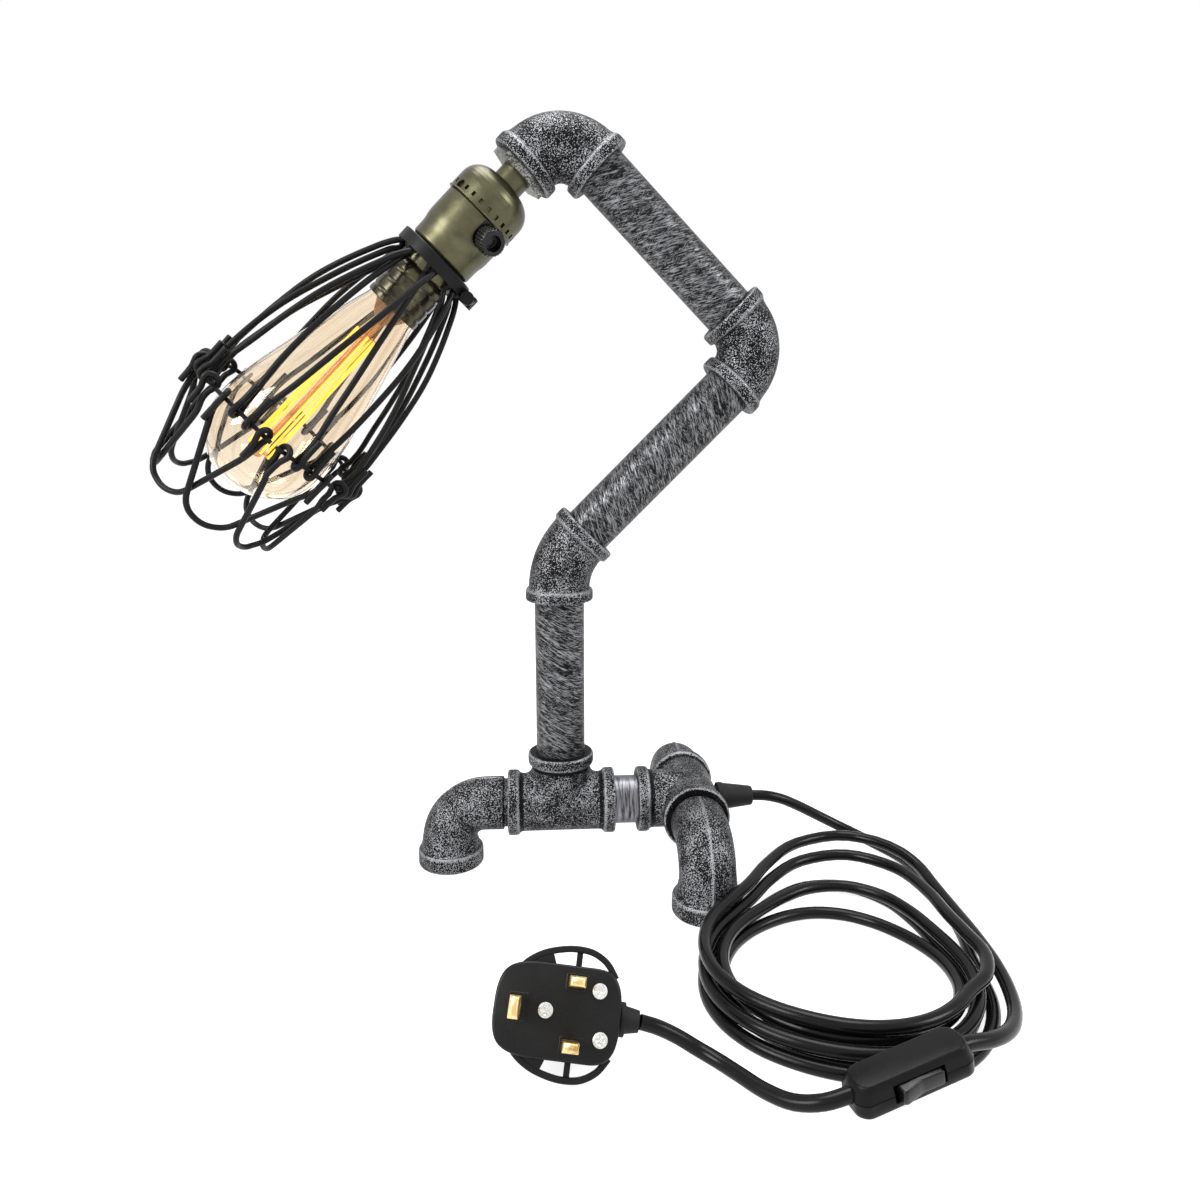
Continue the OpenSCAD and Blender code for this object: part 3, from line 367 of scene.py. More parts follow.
def eased(corners, radii, steps=5):
    """Closed outline with its corners rounded: each corner becomes a parabola between points on its two sides,
    at the given distance from it or at half the side where that is shorter."""
    c = np.array(corners, float)
    r = np.broadcast_to(np.asarray(radii, float), len(c))[:, None]
    before, after = np.roll(c, 1, 0) - c, np.roll(c, -1, 0) - c
    a, b = (c + unit(side) * np.minimum(r, np.linalg.norm(side, axis=1, keepdims=True) * 0.49)
            for side in (before, after))
    s = np.linspace(0, 1, steps)[None, :, None]
    curve = (1 - s) ** 2 * a[:, None] + 2 * s * (1 - s) * c[:, None] + s ** 2 * b[:, None]
    return curve.reshape(-1, c.shape[1])


def turned(outline, around=72):
    """Grid of an outline [radius, height] turned about Z: each point goes round a circle at its height."""
    a = 2 * np.pi * np.arange(around) / around
    r, z = np.asarray(outline)[:, :1], np.asarray(outline)[:, 1:2]
    return np.stack([r * np.cos(a), r * np.sin(a), z + 0 * a], 2)


def rot(axis, degrees):
    """Turning matrix about X, Y or Z."""
    c, s = np.cos(np.radians(degrees)), np.sin(np.radians(degrees))
    return np.array({"x": [[1, 0, 0], [0, c, -s], [0, s, c]], "y": [[c, 0, s], [0, 1, 0], [-s, 0, c]],
                     "z": [[c, -s, 0], [s, c, 0], [0, 0, 1]]}[axis])


def moved(points, turn=np.eye(3), to=(0, 0, 0)):
    """Points turned by a matrix and then moved."""
    return np.asarray(points) @ turn.T + np.asarray(to, float)


def placed(grid, turn, to, ring=True, wear=0.0):
    """A shell made in its piece's own frame and put in its place. The finish follows the own frame."""
    return skin(moved(grid, turn, to), ring, grid, wear)


# Silver that shows through the black where iron is rubbed: grains of two sizes, more of them where a place is
# worn.
rubbed, w, given, result = effect("rubbed_silver", {"Coords": "Vector", "Scale": "Float", "Cover": "Float",
                                                    "Wear": "Float"}, {"Mask": "Float", "Height": "Float"})
fine = w.noise(given["Coords"], given["Scale"])
coarse = w.noise(given["Coords"], w.math("MULTIPLY", given["Scale"], 0.065))
level = w.math("ADD", w.math("MULTIPLY", given["Cover"], w.span(coarse, 0.3, 0.7, 0.74, 1.26)),
               w.math("MULTIPLY", given["Wear"], 0.16))
edge = w.math("SUBTRACT", 0.74, level)
w.fill(result, Mask=w.span(fine, edge, w.math("ADD", edge, 0.05)), Height=fine)

cast_iron, w, shader = finish_of("cast_iron")
look = w.use(rubbed, Coords=w.painted("own", "Vector"), Scale=1.6, Cover=0.212, Wear=w.painted("wear"))
# The silver grains are darkened towards the outline by a painted shade, standing in for dark reflections.
silver_with_edge_shade = w.math("MULTIPLY", look["Mask"], w.front(0.45))
w.fill(shader, Base_Color=w.blend(silver_with_edge_shade, (0.003, 0.003, 0.0035, 1), (0.32, 0.325, 0.34, 1)),
       Roughness=w.span(look["Mask"], 0, 1, 0.5, 0.36), Metallic=w.span(look["Mask"], 0, 1, 0.0, 0.6),
       Normal=w.bump(look["Height"], 0.0005, 0.9), Specular_IOR_Level=0.08)


def rim_wear(points, reach):
    """1 on the band's two rims, falling away within a millimetre and a half, and below 0 where the mouth's face
    and the hollow behind the band keep their black."""
    r, z = points[:, 0], points[:, 1]
    d = np.minimum(abs(z - reach), abs(z - reach + band_w))
    rims = np.clip(1 - d / 1.5, 0, 1) * np.clip(r - body_r - 0.6, 0, 1)
    return rims - 0.9 * (r < band_edge) * (z > reach - band_w - 3) * (abs(z) > 12)


def tee_shells(turn, to):
    """Run along X and branch up Z, each an outline with bore turned about its axis, and two fillets between
    them: at each place across the run, a curve from the branch's side to the run's top."""
    behind = tee_reach - band_w
    half = [[mouth_r, tee_reach], [band_r, tee_reach], [band_r, behind], [body_r + 0.5, behind - 0.9],
            [body_r, behind - 2.4]]
    bore = [[mouth_r, -17], [way_r, -18], [way_r, 18], [mouth_r, 17]]
    line = eased(half + [[r, -z] for r, z in half[::-1]] + bore, band_soft + band_soft[::-1] + [0.2] * 4)
    wear = np.where(line[:, 1] > 0, rim_wear(line, tee_reach), rim_wear(line * [1, -1], tee_reach))
    shells = [(moved(turned(line), rot("y", 90)), wear[:, None])]
    line = eased(half + [[body_r, 12], [way_r, 12], [way_r, 17], [mouth_r, 17.5]], band_soft + [0.2] * 4)
    branch = turned(line)
    saddle = np.sqrt(np.maximum(0, body_r ** 2 - branch[..., 1] ** 2)) - 0.1 - 0.08 * abs(branch[..., 0])
    branch[..., 2] = np.where(line[:, 1:] < 13, saddle, branch[..., 2])
    shells.append((branch, rim_wear(line, tee_reach)[:, None]))
    out = [placed(g, turn, to, wear=worn) for g, worn in shells]
    phi = np.radians(np.linspace(-78, 78, 33))[:, None]
    s = np.linspace(0, 1, 9)[None, :]
    corner = body_r * np.cos(phi)       # the corner's place beside the branch and above the run's axis
    reach = 6.5 * np.cos(phi) ** 1.5
    x = np.hstack([corner + s ** 2 * reach, corner + reach, corner - 1, corner - 1]) - 0.02
    z = np.hstack([corner + (1 - s) ** 2 * reach, corner - 1, corner - 1, corner + reach]) - 0.02
    return out + [placed(np.stack([side * x, body_r * np.sin(phi) + 0 * x, z], 2), turn, to, ring=False)
                  for side in (-1, 1)]


for name, turn, x, node in (("tee_under_upright", np.eye(3), post_x, "base_tee"),
                            ("tee_with_gland", rot("y", -90) @ rot("z", 90), cord_x, "cord_tee")):
    make(name, tee_shells(turn, (x, 0, axis_h)), cast_iron, "base", [node])

# ------------------------------------------------------------------ nipple between the tees
# A short steel nipple, turned bright, that joins the two tees. Fine rings from the lathe run round it.
pipe_wall, nipple_gap = 2.6, 13.0
pipe_in = mouth_depth - 0.5         # how far a pipe goes into a fitting


def pipe_shell(low, high, turn, to):
    """A pipe along Z: an outline with rounded ends turned about the axis."""
    inner = pipe_r - pipe_wall
    line = eased([[pipe_r, low], [pipe_r, high], [inner, high], [inner, low]], 0.5)
    return placed(turned(line, 96), turn, to)


# Marks of a tool or of wear that run one way: noise drawn out along one direction of the surface's own frame.
streaks, w, given, result = effect(
    "drawn_streaks", {"Coords": "Vector", "Scale": "Float", "Cover": "Float"},
    {"Mask": "Float", "Height": "Float"})
drawn = w.noise(given["Coords"], given["Scale"], 5.0, 0.65)
patches = w.noise(given["Coords"], w.math("MULTIPLY", given["Scale"], 0.21))
level = w.math("SUBTRACT", 0.62, w.math("MULTIPLY", given["Cover"], w.span(patches, 0.3, 0.7, 0.2, 0.5)))
w.fill(result, Mask=w.span(drawn, level, w.math("ADD", level, 0.12)), Height=drawn)

turned_steel, w, shader = finish_of("turned_steel")
look = w.use(streaks, Coords=w.stretch(w.painted("own", "Vector"), (0.15, 0.15, 3)), Scale=0.6, Cover=0.6)
# The bright streaks fade to dark towards the outline: a painted shade that stands in for dark reflections.
bright_with_edge_shade = w.math("MULTIPLY", look["Mask"], w.front(0.1))
w.fill(shader, Base_Color=w.blend(bright_with_edge_shade, (0.035, 0.035, 0.04, 1), (0.24, 0.24, 0.26, 1)), Metallic=1.0,
       Roughness=w.span(look["Mask"], 0, 1, 0.3, 0.4), Normal=w.bump(look["Height"], 0.00004, 0.5))
nipple = pipe_shell(tee_reach - pipe_in, tee_reach + nipple_gap + pipe_in, rot("y", 90), (post_x, 0, axis_h))
make("nipple_between_tees", [nipple], turned_steel, "base", ["base_nipple"])

# ------------------------------------------------------------------ feet
# Three street elbows of cast iron: each screws into a tee with its male end, turns down and stands on its band.
# A raised seam from the two halves of the mould runs along the outside of the bend, rubbed bright.
foot_band, foot_bend, foot_neck = 9.0, 20.0, 26.5


def dense(line, step):
    """A closed outline with points added so that no stretch of it is longer than a step."""
    after = np.roll(line, -1, 0)
    count = np.maximum(1, np.ceil(np.linalg.norm(after - line, axis=1) / step)).astype(int)
    first = np.repeat(np.cumsum(count) - count, count)
    share = ((np.arange(count.sum()) - first) / np.repeat(count, count))[:, None]
    return np.repeat(line, count, 0) * (1 - share) + np.repeat(after, count, 0) * share


def bent(line, before, radius, degrees, seam, seam_from, seam_to):
    """An outline [distance along the path, radius] carried along a path that rises along Z, turns towards X in
    an arc and goes on straight. The distance gives a place on the path and the angle turned there, and the
    radius a circle square to it. The seam lifts the circle in a narrow ridge inside and outside the bend. Gives
    back the grid, and how much of the seam's height is at each point."""
    s, r = line[:, :1], line[:, 1:]
    full = np.radians(degrees)
    a = np.clip((s - before) / radius, 0, full)
    on = np.maximum(0, s - before - radius * full)
    x = radius * (1 - np.cos(a)) + on * np.sin(full)
    z = np.minimum(s, before) + radius * np.sin(a) + on * np.cos(full)
    phi = 2 * np.pi * np.arange(72) / 72
    window = ease((s - seam_from) / 2) * ease((seam_to - s) / 2) * (r > way_r + 2)
    across = np.minimum(abs(phi - np.pi), np.minimum(phi, 2 * np.pi - phi)) * body_r
    ridge = window * np.exp(-(across / 0.8) ** 2)
    r = r + seam * ridge
    side = r * np.cos(phi)
    return np.stack([x + side * np.cos(a), r * np.sin(phi), z - side * np.sin(a)], 2), ridge


def foot_shell(turn, to):
    """Male end, neck, bend, cone and the band that stands on the table: one outline carried down the bend."""
    cone = foot_neck + foot_bend * np.pi / 2
    end = cone + axis_h - foot_bend
    top = end - foot_band
    line = eased([[0, way_r], [0, pipe_r], [15.5, pipe_r], [16, 14.9], [cone - 4, 14.6], [top - 3.4, 15.6],
                  [top - 0.6, 16.6], [top, band_r], [end, band_r], [end, pipe_r], [top, pipe_r],
                  [top - 1, way_r]], [0.3, 0.5, 0.1, 0.6, 4, 3, 0.7, 1.8, 1.6, 0.3, 0.3, 0.3])
    s, r = line.T
    rims = np.clip(1 - np.minimum(abs(s - end), abs(s - top)) / 1.6, 0, 1) * (r > 17.3)
    wear = rims - 0.9 * (abs(s - top + 1.5) < 1.6) * (r < 17.3)
    line = dense(np.hstack([line, wear[:, None]]), 1.6)
    grid, ridge = bent(line[:, :2], foot_neck, foot_bend, 90, 0.55, 17, top - 1)
    grid = moved(grid, np.array([[0, 0, -1], [0, -1, 0], [-1, 0, 0]]), (13.5 - tee_reach, 0, axis_h))
    return placed(grid, turn, to, wear=np.maximum(line[:, 2:], ridge * 0.9))


for side, angle, x in (("left", 0, post_x), ("front", 90, cord_x), ("back", -90, cord_x)):
    make("foot_" + side, [foot_shell(rot("z", angle), (x, 0, 0))], cast_iron, "base", [side + "_foot_elbow"])

# ------------------------------------------------------------------ cord gland
# The cord's strain relief: a smooth cone of matt black rubber, held by a flange on the back of the second tee.
rubber = moulded("matt_rubber", 2.2, 0.12, 0.5, 0.66, (0.010, 0.010, 0.011, 1), None, 0.2, 0.00008, 0.7)
gland_line = eased([[3.1, 12], [5.5, 12], [5.5, 16.3], [8, 16.3], [8, 19.4], [7.5, 20.2], [5.4, 36.9],
                    [3.1, 37.1]], [0.2, 0.3, 0.2, 0.8, 0.6, 0.6, 1.6, 0.2])
make("gland_relief", [placed(turned(gland_line, 64), rot("y", 90), (cord_x, 0, axis_h))], rubber, "base",
     ["cord_gland"])

# ------------------------------------------------------------------ pipes of the arm
# Three lengths of steel pipe, blackened and then brushed: short slanting scratches show the bright metal under
# the black. The pipes and elbows from the upright to the top each have a place where two of their lines meet.
lower_len, upper_len, elbow_reach, bend_reach = 154.0, 150.0, 28.0, 22.0
bend_z = axis_h + 139.0
bend_at = np.array([post_x, 0, bend_z])
elbow_at = bend_at + lower_len * np.array([np.sin(np.pi / 4), 0, np.cos(np.pi / 4)])
top_at = elbow_at + upper_len * np.array([-np.sin(np.pi / 4), 0, np.cos(np.pi / 4)])
blackened_pipe, w, shader = finish_of("blackened_pipe")
own = w.painted("own", "Vector")
scratches = w.use(streaks, Coords=w.stretch(own, (0.22, 0.22, 2.2), (0.1, 0.5, 0)), Scale=1.0, Cover=0.36)
crossing = w.use(streaks, Coords=w.stretch(own, (0.3, 0.3, 2.0), (-0.1, -0.2, 0)), Scale=1.1, Cover=0.26)
marks = w.math("MAXIMUM", scratches["Mask"], w.math("MULTIPLY", crossing["Mask"], 0.7))
# The silver scratches are darkened towards the outline by a painted shade, standing in for dark reflections.
silver_with_edge_shade = w.math("MULTIPLY", marks, w.front(0.3))
w.fill(shader, Base_Color=w.blend(silver_with_edge_shade, (0.005, 0.005, 0.0055, 1), (0.30, 0.305, 0.32, 1)), Metallic=0.6,
       Roughness=w.span(silver_with_edge_shade, 0, 1, 0.45, 0.34), Normal=w.bump(scratches["Height"], 0.0002, 0.6),
       Specular_IOR_Level=0.15)
for name, low, high, angle, at, body, node in (
        ("pipe_upright", axis_h + tee_reach, bend_z - bend_reach, 0, (post_x, 0, 0), "upright", "upright_pipe"),
        ("lower_arm_pipe", bend_reach, lower_len - elbow_reach, 45, bend_at, "lower_arm", "lower_pipe"),
        ("upper_arm_pipe", elbow_reach, upper_len - elbow_reach, -45, elbow_at, "upper_arm", "upper_pipe")):
    pipe = pipe_shell(low - pipe_in, high + pipe_in, rot("y", angle), at)
    make(name, [pipe], blackened_pipe, body, [node])

# ------------------------------------------------------------------ elbows of the arm
# A 45 degree elbow on the upright, a 90 degree one between the arms and one at the top: cast like the tees,
# with a low mould seam.
def elbow_shell(degrees, reach, turn, to):
    """Two banded mouths and the bend between them, as one outline carried round it."""
    radius = (reach - band_w) / np.tan(np.radians(degrees / 2))
    end = 2 * band_w + radius * np.radians(degrees)
    half = [[0, mouth_r], [0, band_r], [band_w, band_r], [band_w + 0.9, body_r + 0.5], [band_w + 2.4, body_r]]
    bore = [[mouth_depth + 1.5, way_r], [mouth_depth, mouth_r]]
    other = lambda part: [[end - s, r] for s, r in part[::-1]]
    line = eased(half + other(half) + other(bore) + bore, band_soft + band_soft[::-1] + [0.2] * 4)
    near = np.min([abs(line[:, 0] - k) for k in (0, band_w, end - band_w, end)], 0)
    r = line[:, 1]
    wear = np.clip(1 - near / 1.5, 0, 1) * (r > band_edge) - 0.9 * (near < 3) * (r < band_edge)
    line = dense(np.hstack([line, wear[:, None]]), 1.6)
    grid, ridge = bent(line[:, :2], band_w, radius, degrees, 0.3, band_w + 1, end - band_w - 1)
    return placed(grid - [0, 0, reach], turn, to, wear=np.maximum(line[:, 2:], ridge * 0.35))


back = rot("z", 180)
for name, degrees, reach, turn, at, body, node in (
        ("elbow_on_upright", 45, bend_reach, np.eye(3), bend_at, "upright", "elbow_45"),
        ("elbow_between_arms", 90, elbow_reach, rot("y", 45) @ back, elbow_at, "lower_arm", "elbow_90"),
        ("elbow_at_top", 90, elbow_reach, rot("y", -45) @ back, top_at, "upper_arm", "top_elbow")):
    make(name, [elbow_shell(degrees, reach, turn, at)], cast_iron, body, [node])

# ------------------------------------------------------------------ flex and plain inner parts
# The two-core flex inside the pipes is in lengths that end where a joint turns. It is the same black PVC as the
# cord.
def coat(finish, *names):
    """Gives CAD nodes a finish."""
    for name in names:
        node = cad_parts[name]
        if not node.material_slots:
            node.data.materials.append(finish)
        for place in node.material_slots:
            place.material = finish


coat(cord_black, "flex_base", "flex_upright", "flex_lower", "flex_upper", "flex_head")

# ------------------------------------------------------------------ bush and nipple of the head
# A dark hexagon bush closes the top elbow, and a short bronze nipple on it carries the lampholder and lets it
# turn.
def worn_metal(name, pattern, dark, light, metallic, rough, bare_rough, deep=None, strength=0.6, **values):
    """A metal marked by a shared pattern: a tone and a roughness outside and inside its mask, and a bump."""
    finish, w, shader = finish_of(name)
    look = w.use(pattern, Coords=w.place(), **values)
    w.fill(shader, Base_Color=w.blend(look["Mask"], dark, light), Metallic=metallic,
           Roughness=w.span(look["Mask"], 0, 1, rough, bare_rough))
    if deep:
        w.fill(shader, Normal=w.bump(look["Height"], deep, strength))
    return finish


dull_iron = worn_metal("dull_iron", rubbed, (0.07, 0.07, 0.065, 1), (0.34, 0.34, 0.32, 1), 0.8, 0.42, 0.3,
                       0.0001, Scale=1.3, Cover=0.2, Wear=0.2)
coat(dull_iron, "hex_bush", "lock_nut", "terminal_screws")

# Antique bronze: an olive lacquer over brass, a little cloudy, with faint drawn lines and thin spots where the
# brass comes through.
aged, w, given, result = effect("aged_bronze", {"Coords": "Vector", "Scale": "Float", "Bare": "Float"},
                                {"Cloud": "Float", "Thin": "Float", "Height": "Float"})
cloud = w.noise(given["Coords"], given["Scale"], 3.0, 0.6)
fine = w.noise(given["Coords"], w.math("MULTIPLY", given["Scale"], 9.0), 4.0, 0.7)
bare = w.math("MULTIPLY", given["Bare"], w.span(cloud, 0.4, 0.7))
w.fill(result, Cloud=w.span(cloud, 0.32, 0.68), Height=fine,
       Thin=w.math("MULTIPLY", w.span(fine, 0.6, 0.72), bare))


def bronze_finish(name, own, dark, light, bare_colour, bare, rough):
    """Antique bronze of two olive tones, with its own amount of bare brass. A painted shade darkens it to near
    black towards its outline.
    """
    finish, w, shader = finish_of(name)
    look = w.use(aged, Coords=w.painted("own", "Vector") if own else w.place(), Scale=0.14, Bare=bare)
    tone = w.blend(look["Thin"], w.blend(look["Cloud"], dark, light), bare_colour)
    # Painted shade: the colour goes to near black towards the outline, standing in for dark reflections.
    w.fill(shader, Base_Color=w.blend(w.front(0.05), (0.008, 0.007, 0.003, 1), tone), Metallic=0.65,
           Roughness=w.span(look["Cloud"], 0, 1, rough, rough + 0.06),
           Normal=w.bump(look["Height"], 0.00003, 0.3))
    return finish


olive = (0.076, 0.072, 0.037, 1), (0.115, 0.11, 0.056, 1), (0.4, 0.34, 0.17, 1), 0.3, 0.3
olive_bronze = bronze_finish("olive_bronze", True, *olive)
plain_bronze = bronze_finish("plain_bronze", False, *olive)
bare_brass = bronze_finish("bare_brass", False, (0.55, 0.40, 0.18, 1), (0.66, 0.50, 0.25, 1),
                           (0.8, 0.65, 0.35, 1), 0.4, 0.24)
coat(plain_bronze, "head_nipple", "holder_cap")
coat(bare_brass, "screw_shell", "centre_contact")

# ------------------------------------------------------------------ lampholder shell
# The lower shell of the holder, spun from bronze: a straight wall under the cap, a soft waist and a short
# collar at its end. Inside it are a card liner, a black ceramic core with its screws, and the brass screw shell
# for the bulb.
head_turn = rot("y", 225)
cap_top, cap_end, skirt_top, skirt_end = 38.6, 58.3, 87.0, 97.5
shell_r, neck_in, skirt_r, sheet = 18.4, 17.4, 15.6, 0.9
bead_r, bead_thick = 19.35, 0.42


def on_head(grid, ring=True):
    """A shell made along the head's axis and hung from the top elbow."""
    return placed(grid, head_turn, top_at, ring)


outline = eased([[17.9, cap_top + 12], [17.9, cap_end + 0.2], [shell_r, cap_end + 0.6],
                 [shell_r, skirt_top - 12.5], [neck_in, skirt_top - 8.5], [neck_in, skirt_top - 1.2],
                 [skirt_r, skirt_top + 0.1], [skirt_r, skirt_end], [skirt_r - sheet, skirt_end],
                 [skirt_r - sheet, skirt_top - 0.4], [neck_in - sheet, skirt_top - 1.9],
                 [neck_in - sheet, skirt_top - 8.8],
                 [shell_r - sheet, skirt_top - 12.8], [shell_r - sheet, cap_end + 1],
                 [17.0, cap_end + 0.6], [17.0, cap_top + 12]],
                [0.2, 0.3, 0.3, 3.5, 3, 1.2, 0.6, 0.35, 0.35, 0.3, 0.6, 2, 3, 0.2, 0.2, 0.2], 7)
make("shell_of_holder", [on_head(turned(outline, 96))], olive_bronze, "head", ["holder_shell"])
a = 2 * np.pi * np.arange(14) / 14
bead = np.stack([bead_r + bead_thick * np.cos(a), cap_end - 0.45 + bead_thick * np.sin(a)], 1)
make("bead_of_cap", [on_head(turned(bead, 96))], olive_bronze, "head", [])
coat(moulded("pale_card", 3.0, 0.2, 0.75, 0.9, (0.46, 0.38, 0.22, 1), (0.56, 0.48, 0.3, 1)), "shell_liner")

# ------------------------------------------------------------------ switch knob
# A round knob of black phenolic plastic on a thin stem, with fine ridges round its edge and a hollow in its
# face. It turns the switch in the holder's core.
phenolic = moulded("black_phenolic", 1.4, 0.3, 0.2, 0.32, (0.003, 0.003, 0.004, 1), None, 0.3, 0.00005, 0.5)
coat(phenolic, "switch_stem", "holder_core", "bulb_contact")
stem_z, stem_turn = 65.0, head_turn @ rot("z", -90 - 38)
knob_in, knob_out, knob_r, knob_ribs = 21.2, 29.4, 6.1, 24
open_half, open_round = 5.4, 66.0       # the stem's opening: half its width, and where its round end begins

# Opening of the shell for the switch's stem: a rounded tongue of the black core fills it, proud of the wall.
down = np.linspace(cap_end + 0.4, open_round + open_half, 22)
end_half = np.sqrt(np.maximum(open_half ** 2 - (down - open_round) ** 2, 0.09))
across = np.where(down < open_round, open_half, end_half)[:, None] * np.linspace(-1, 1, 15) / shell_r
tongue = np.concatenate([np.stack([r * np.cos(a), r * np.sin(a), np.broadcast_to(down[:, None], a.shape)], 2)
                         for r, a in ((shell_r + 0.14, across), (shell_r - 0.3, across[:, ::-1]))], 1)
make("tongue_of_core", [placed(tongue, stem_turn, top_at, ring=False)], phenolic, "head", [])
outline = eased([[0.02, knob_in], [knob_r, knob_in], [knob_r, knob_out], [3.9, knob_out], [3.6, 24.6],
                 [0.02, 24.5]], [0.01, 0.7, 0.7, 0.3, 0.4, 0.01], 7)
grid = turned(dense(outline, 0.6), 240)
height, phi = grid[..., 2], 2 * np.pi * np.arange(240) / 240
on_edge = ease((height - knob_in - 0.3) / 0.6) * ease((knob_out - 0.5 - height) / 0.6) \
    * (np.hypot(grid[..., 0], grid[..., 1]) > 5.5)
ridge = 1 + 0.11 * (0.5 + 0.5 * np.cos(knob_ribs * phi)) ** 0.6 * on_edge
grid = grid * np.stack([ridge, ridge, np.ones_like(ridge)], 2)
across = moved(grid, rot("y", 90), (0, 0, stem_z))
make("turn_knob", [skin(moved(across, stem_turn, top_at), ring=True, own=grid)], phenolic, "knob",
     ["switch_knob"], 60)

# ------------------------------------------------------------------ bulb
# A large filament bulb: a ridged bronze sleeve over the brass screw cap, a long pear of amber glass that ends
# in a small tip, and inside it a stem of orange glass that holds eight filament rods.
sleeve_r, sleeve_top, sleeve_end, tip_end = 14.7, 101.4, 122.0, 242.2
thread_r, thread_deep, thread_turns, thread_top = 12.4, 0.75, 6, 77.6
glass_wall, filament_top, filament_end = 0.9, 144.0, 218.0
along = np.linspace(0, 1, 65)
grooves = np.exp(-((along[:, None] - [0.16, 0.5, 0.84]) / 0.035) ** 2).sum(1)
sleeve_wave = np.stack([sleeve_r - 0.5 * grooves, sleeve_top + (sleeve_end - 1 - sleeve_top) * along], 1)
along = np.linspace(0, 1, 97)
wave = np.cos(along * 2 * np.pi * thread_turns)
thread = np.stack([thread_r + thread_deep * wave, thread_top + 19.6 * along], 1)
cap_line = np.vstack([[[6, 73.7], [8, 73.7], [12.4, 76.9]], thread, [[12.9, 97.9], [13.2, 98.2], [14.5, 100.6]],
                      sleeve_wave, [[14.5, 121.8], [14.1, 122], [13.95, 121.8], [13.95, 104.2], [11.7, 104],
                                    [11.7, 77], [6, 76.8]]])
sleeve_bronze = bronze_finish("sleeve_bronze", True, (0.022, 0.02, 0.011, 1), (0.10, 0.088, 0.046, 1),
                              (0.5, 0.4, 0.2, 1), 0.4, 0.2)
make("cap_of_bulb", [on_head(turned(cap_line, 96))], sleeve_bronze, "bulb", ["bulb_cap"])


def tinted_glass(name, scale, dark, light, smooth, rough, clear, ior):
    """Glass whose tint and smoothness drift a little. clear is how much of its light goes through."""
    finish, w, shader = finish_of(name)
    tint = w.span(w.noise(w.place(), scale), 0.3, 0.7)
    w.fill(shader, Base_Color=w.blend(tint, dark, light), Roughness=w.span(tint, 0, 1, smooth, rough),
           Transmission_Weight=clear, IOR=ior)
    return finish


glass = through([[13.8, 113], [13.8, 123], [15.5, 129], [18.6, 141], [22.6, 157], [26.6, 174], [30, 190],
                 [31.6, 202], [32, 210], [31, 219], [28.2, 227.5], [23.4, 234], [16.5, 239.5], [9, 242.3],
                 [4.6, 243.1], [2.4, 244.2], [0.03, 245]], 5)
side = unit(np.gradient(glass, axis=0))[:, ::-1] * [1, -1]
inside = glass - glass_wall * side
inside = np.stack([np.maximum(inside[:, 0], 0.03), np.minimum(inside[:, 1], tip_end)], 1)[:-9]
grid = turned(np.vstack([glass, [[0.03, tip_end]], inside[::-1]]), 96)
amber = tinted_glass("honey_glass", 0.03, (0.93, 0.81, 0.66, 1), (0.96, 0.885, 0.77, 1), 0.0, 0.015, 1.0, 1.45)
make("glass_of_bulb", [on_head(grid)], amber, "bulb", ["bulb_glass"])

stem_line = eased([[0.02, 116], [11.6, 116], [12.4, 116.4], [6.2, 128], [2.2, 131.5], [2.2, 139], [2.9, 140],
                   [2.9, 142.4], [2.0, 143], [2.0, 218], [2.6, 219], [2.6, 223.5], [1.6, 225], [0.02, 225]], 1)
shells, rods = [on_head(turned(stem_line, 48))], []
rod = turned(eased([[0.02, 0], [0.7, 0], [0.7, 81], [0.02, 81]], [0.01, 0.5, 0.5, 0.01]), 16)
for k in range(8):
    # each rod leans out a little, with a short support wire to the stem at each end
    place = head_turn @ rot("z", 45 * (k + 0.5))
    leaning = moved(rod, rot("y", 0.7), (5.8, 0, filament_top - 4))
    rods.append(skin(moved(leaning, place, top_at), ring=True, own=rod))
    for low, long in ((filament_top - 4, 6.0), (filament_end + 3, 7.0)):
        wire = turned(eased([[0.02, 1], [0.35, 1], [0.35, long], [0.02, long]], 0.01), 10)
        shells.append(skin(moved(moved(wire, rot("y", 90), (0, 0, low)), place, top_at), ring=True, own=wire))
orange = tinted_glass("orange_glass", 0.2, (0.95, 0.42, 0.10, 1), (1.0, 0.58, 0.24, 1), 0.05, 0.12, 0.7, 1.5)
make("stem_of_bulb", shells, orange, "bulb", ["bulb_stem"])
# The rods carry a faint painted glow that brightens their yellow; they are not one of the scene's lamps.
filament_painted_glow, w, shader = finish_of("filament_yellow")
grain = w.noise(w.painted("own", "Vector"), 1.5)
w.fill(shader, Base_Color=w.blend(grain, (1.0, 0.62, 0.05, 1), (1.0, 0.78, 0.14, 1)), Roughness=0.5,
       Emission_Color=w.blend(grain, (1.0, 0.66, 0.03, 1), (1.0, 0.84, 0.12, 1)), Emission_Strength=0.85)
make("filament_rods", rods, filament_painted_glow, "bulb", ["filament"])

# ------------------------------------------------------------------ cage collar
# A flat steel ring round the holder's end, painted black, with two ears and a clamp screw that close it on the
# skirt.
painted = moulded("satin_black", 1.8, 0.1, 0.34, 0.5, (0.004, 0.004, 0.005, 1), (0.010, 0.010, 0.011, 1),
                  0.16, 0.00006)
coat(painted, "cage_collar", "clamp_screw", "clamp_nut")

# ------------------------------------------------------------------ upper wires of the cage
# Eight hairpins of 3 mm steel wire, painted black. Each closed end sits in the collar, its legs cross the
# neighbours' legs and flare to the ring, and each leg ends in a hook that curls round a rod of the ring and
# runs back up beside it.
ring_r, cage_turn, ring_z, wire_r, rod_r = 50.0, -14.0, 204.0, 1.5, 1.1
inner_r = ring_r * np.cos(np.radians(22.5))
hook_r = inner_r / np.cos(np.radians(5))
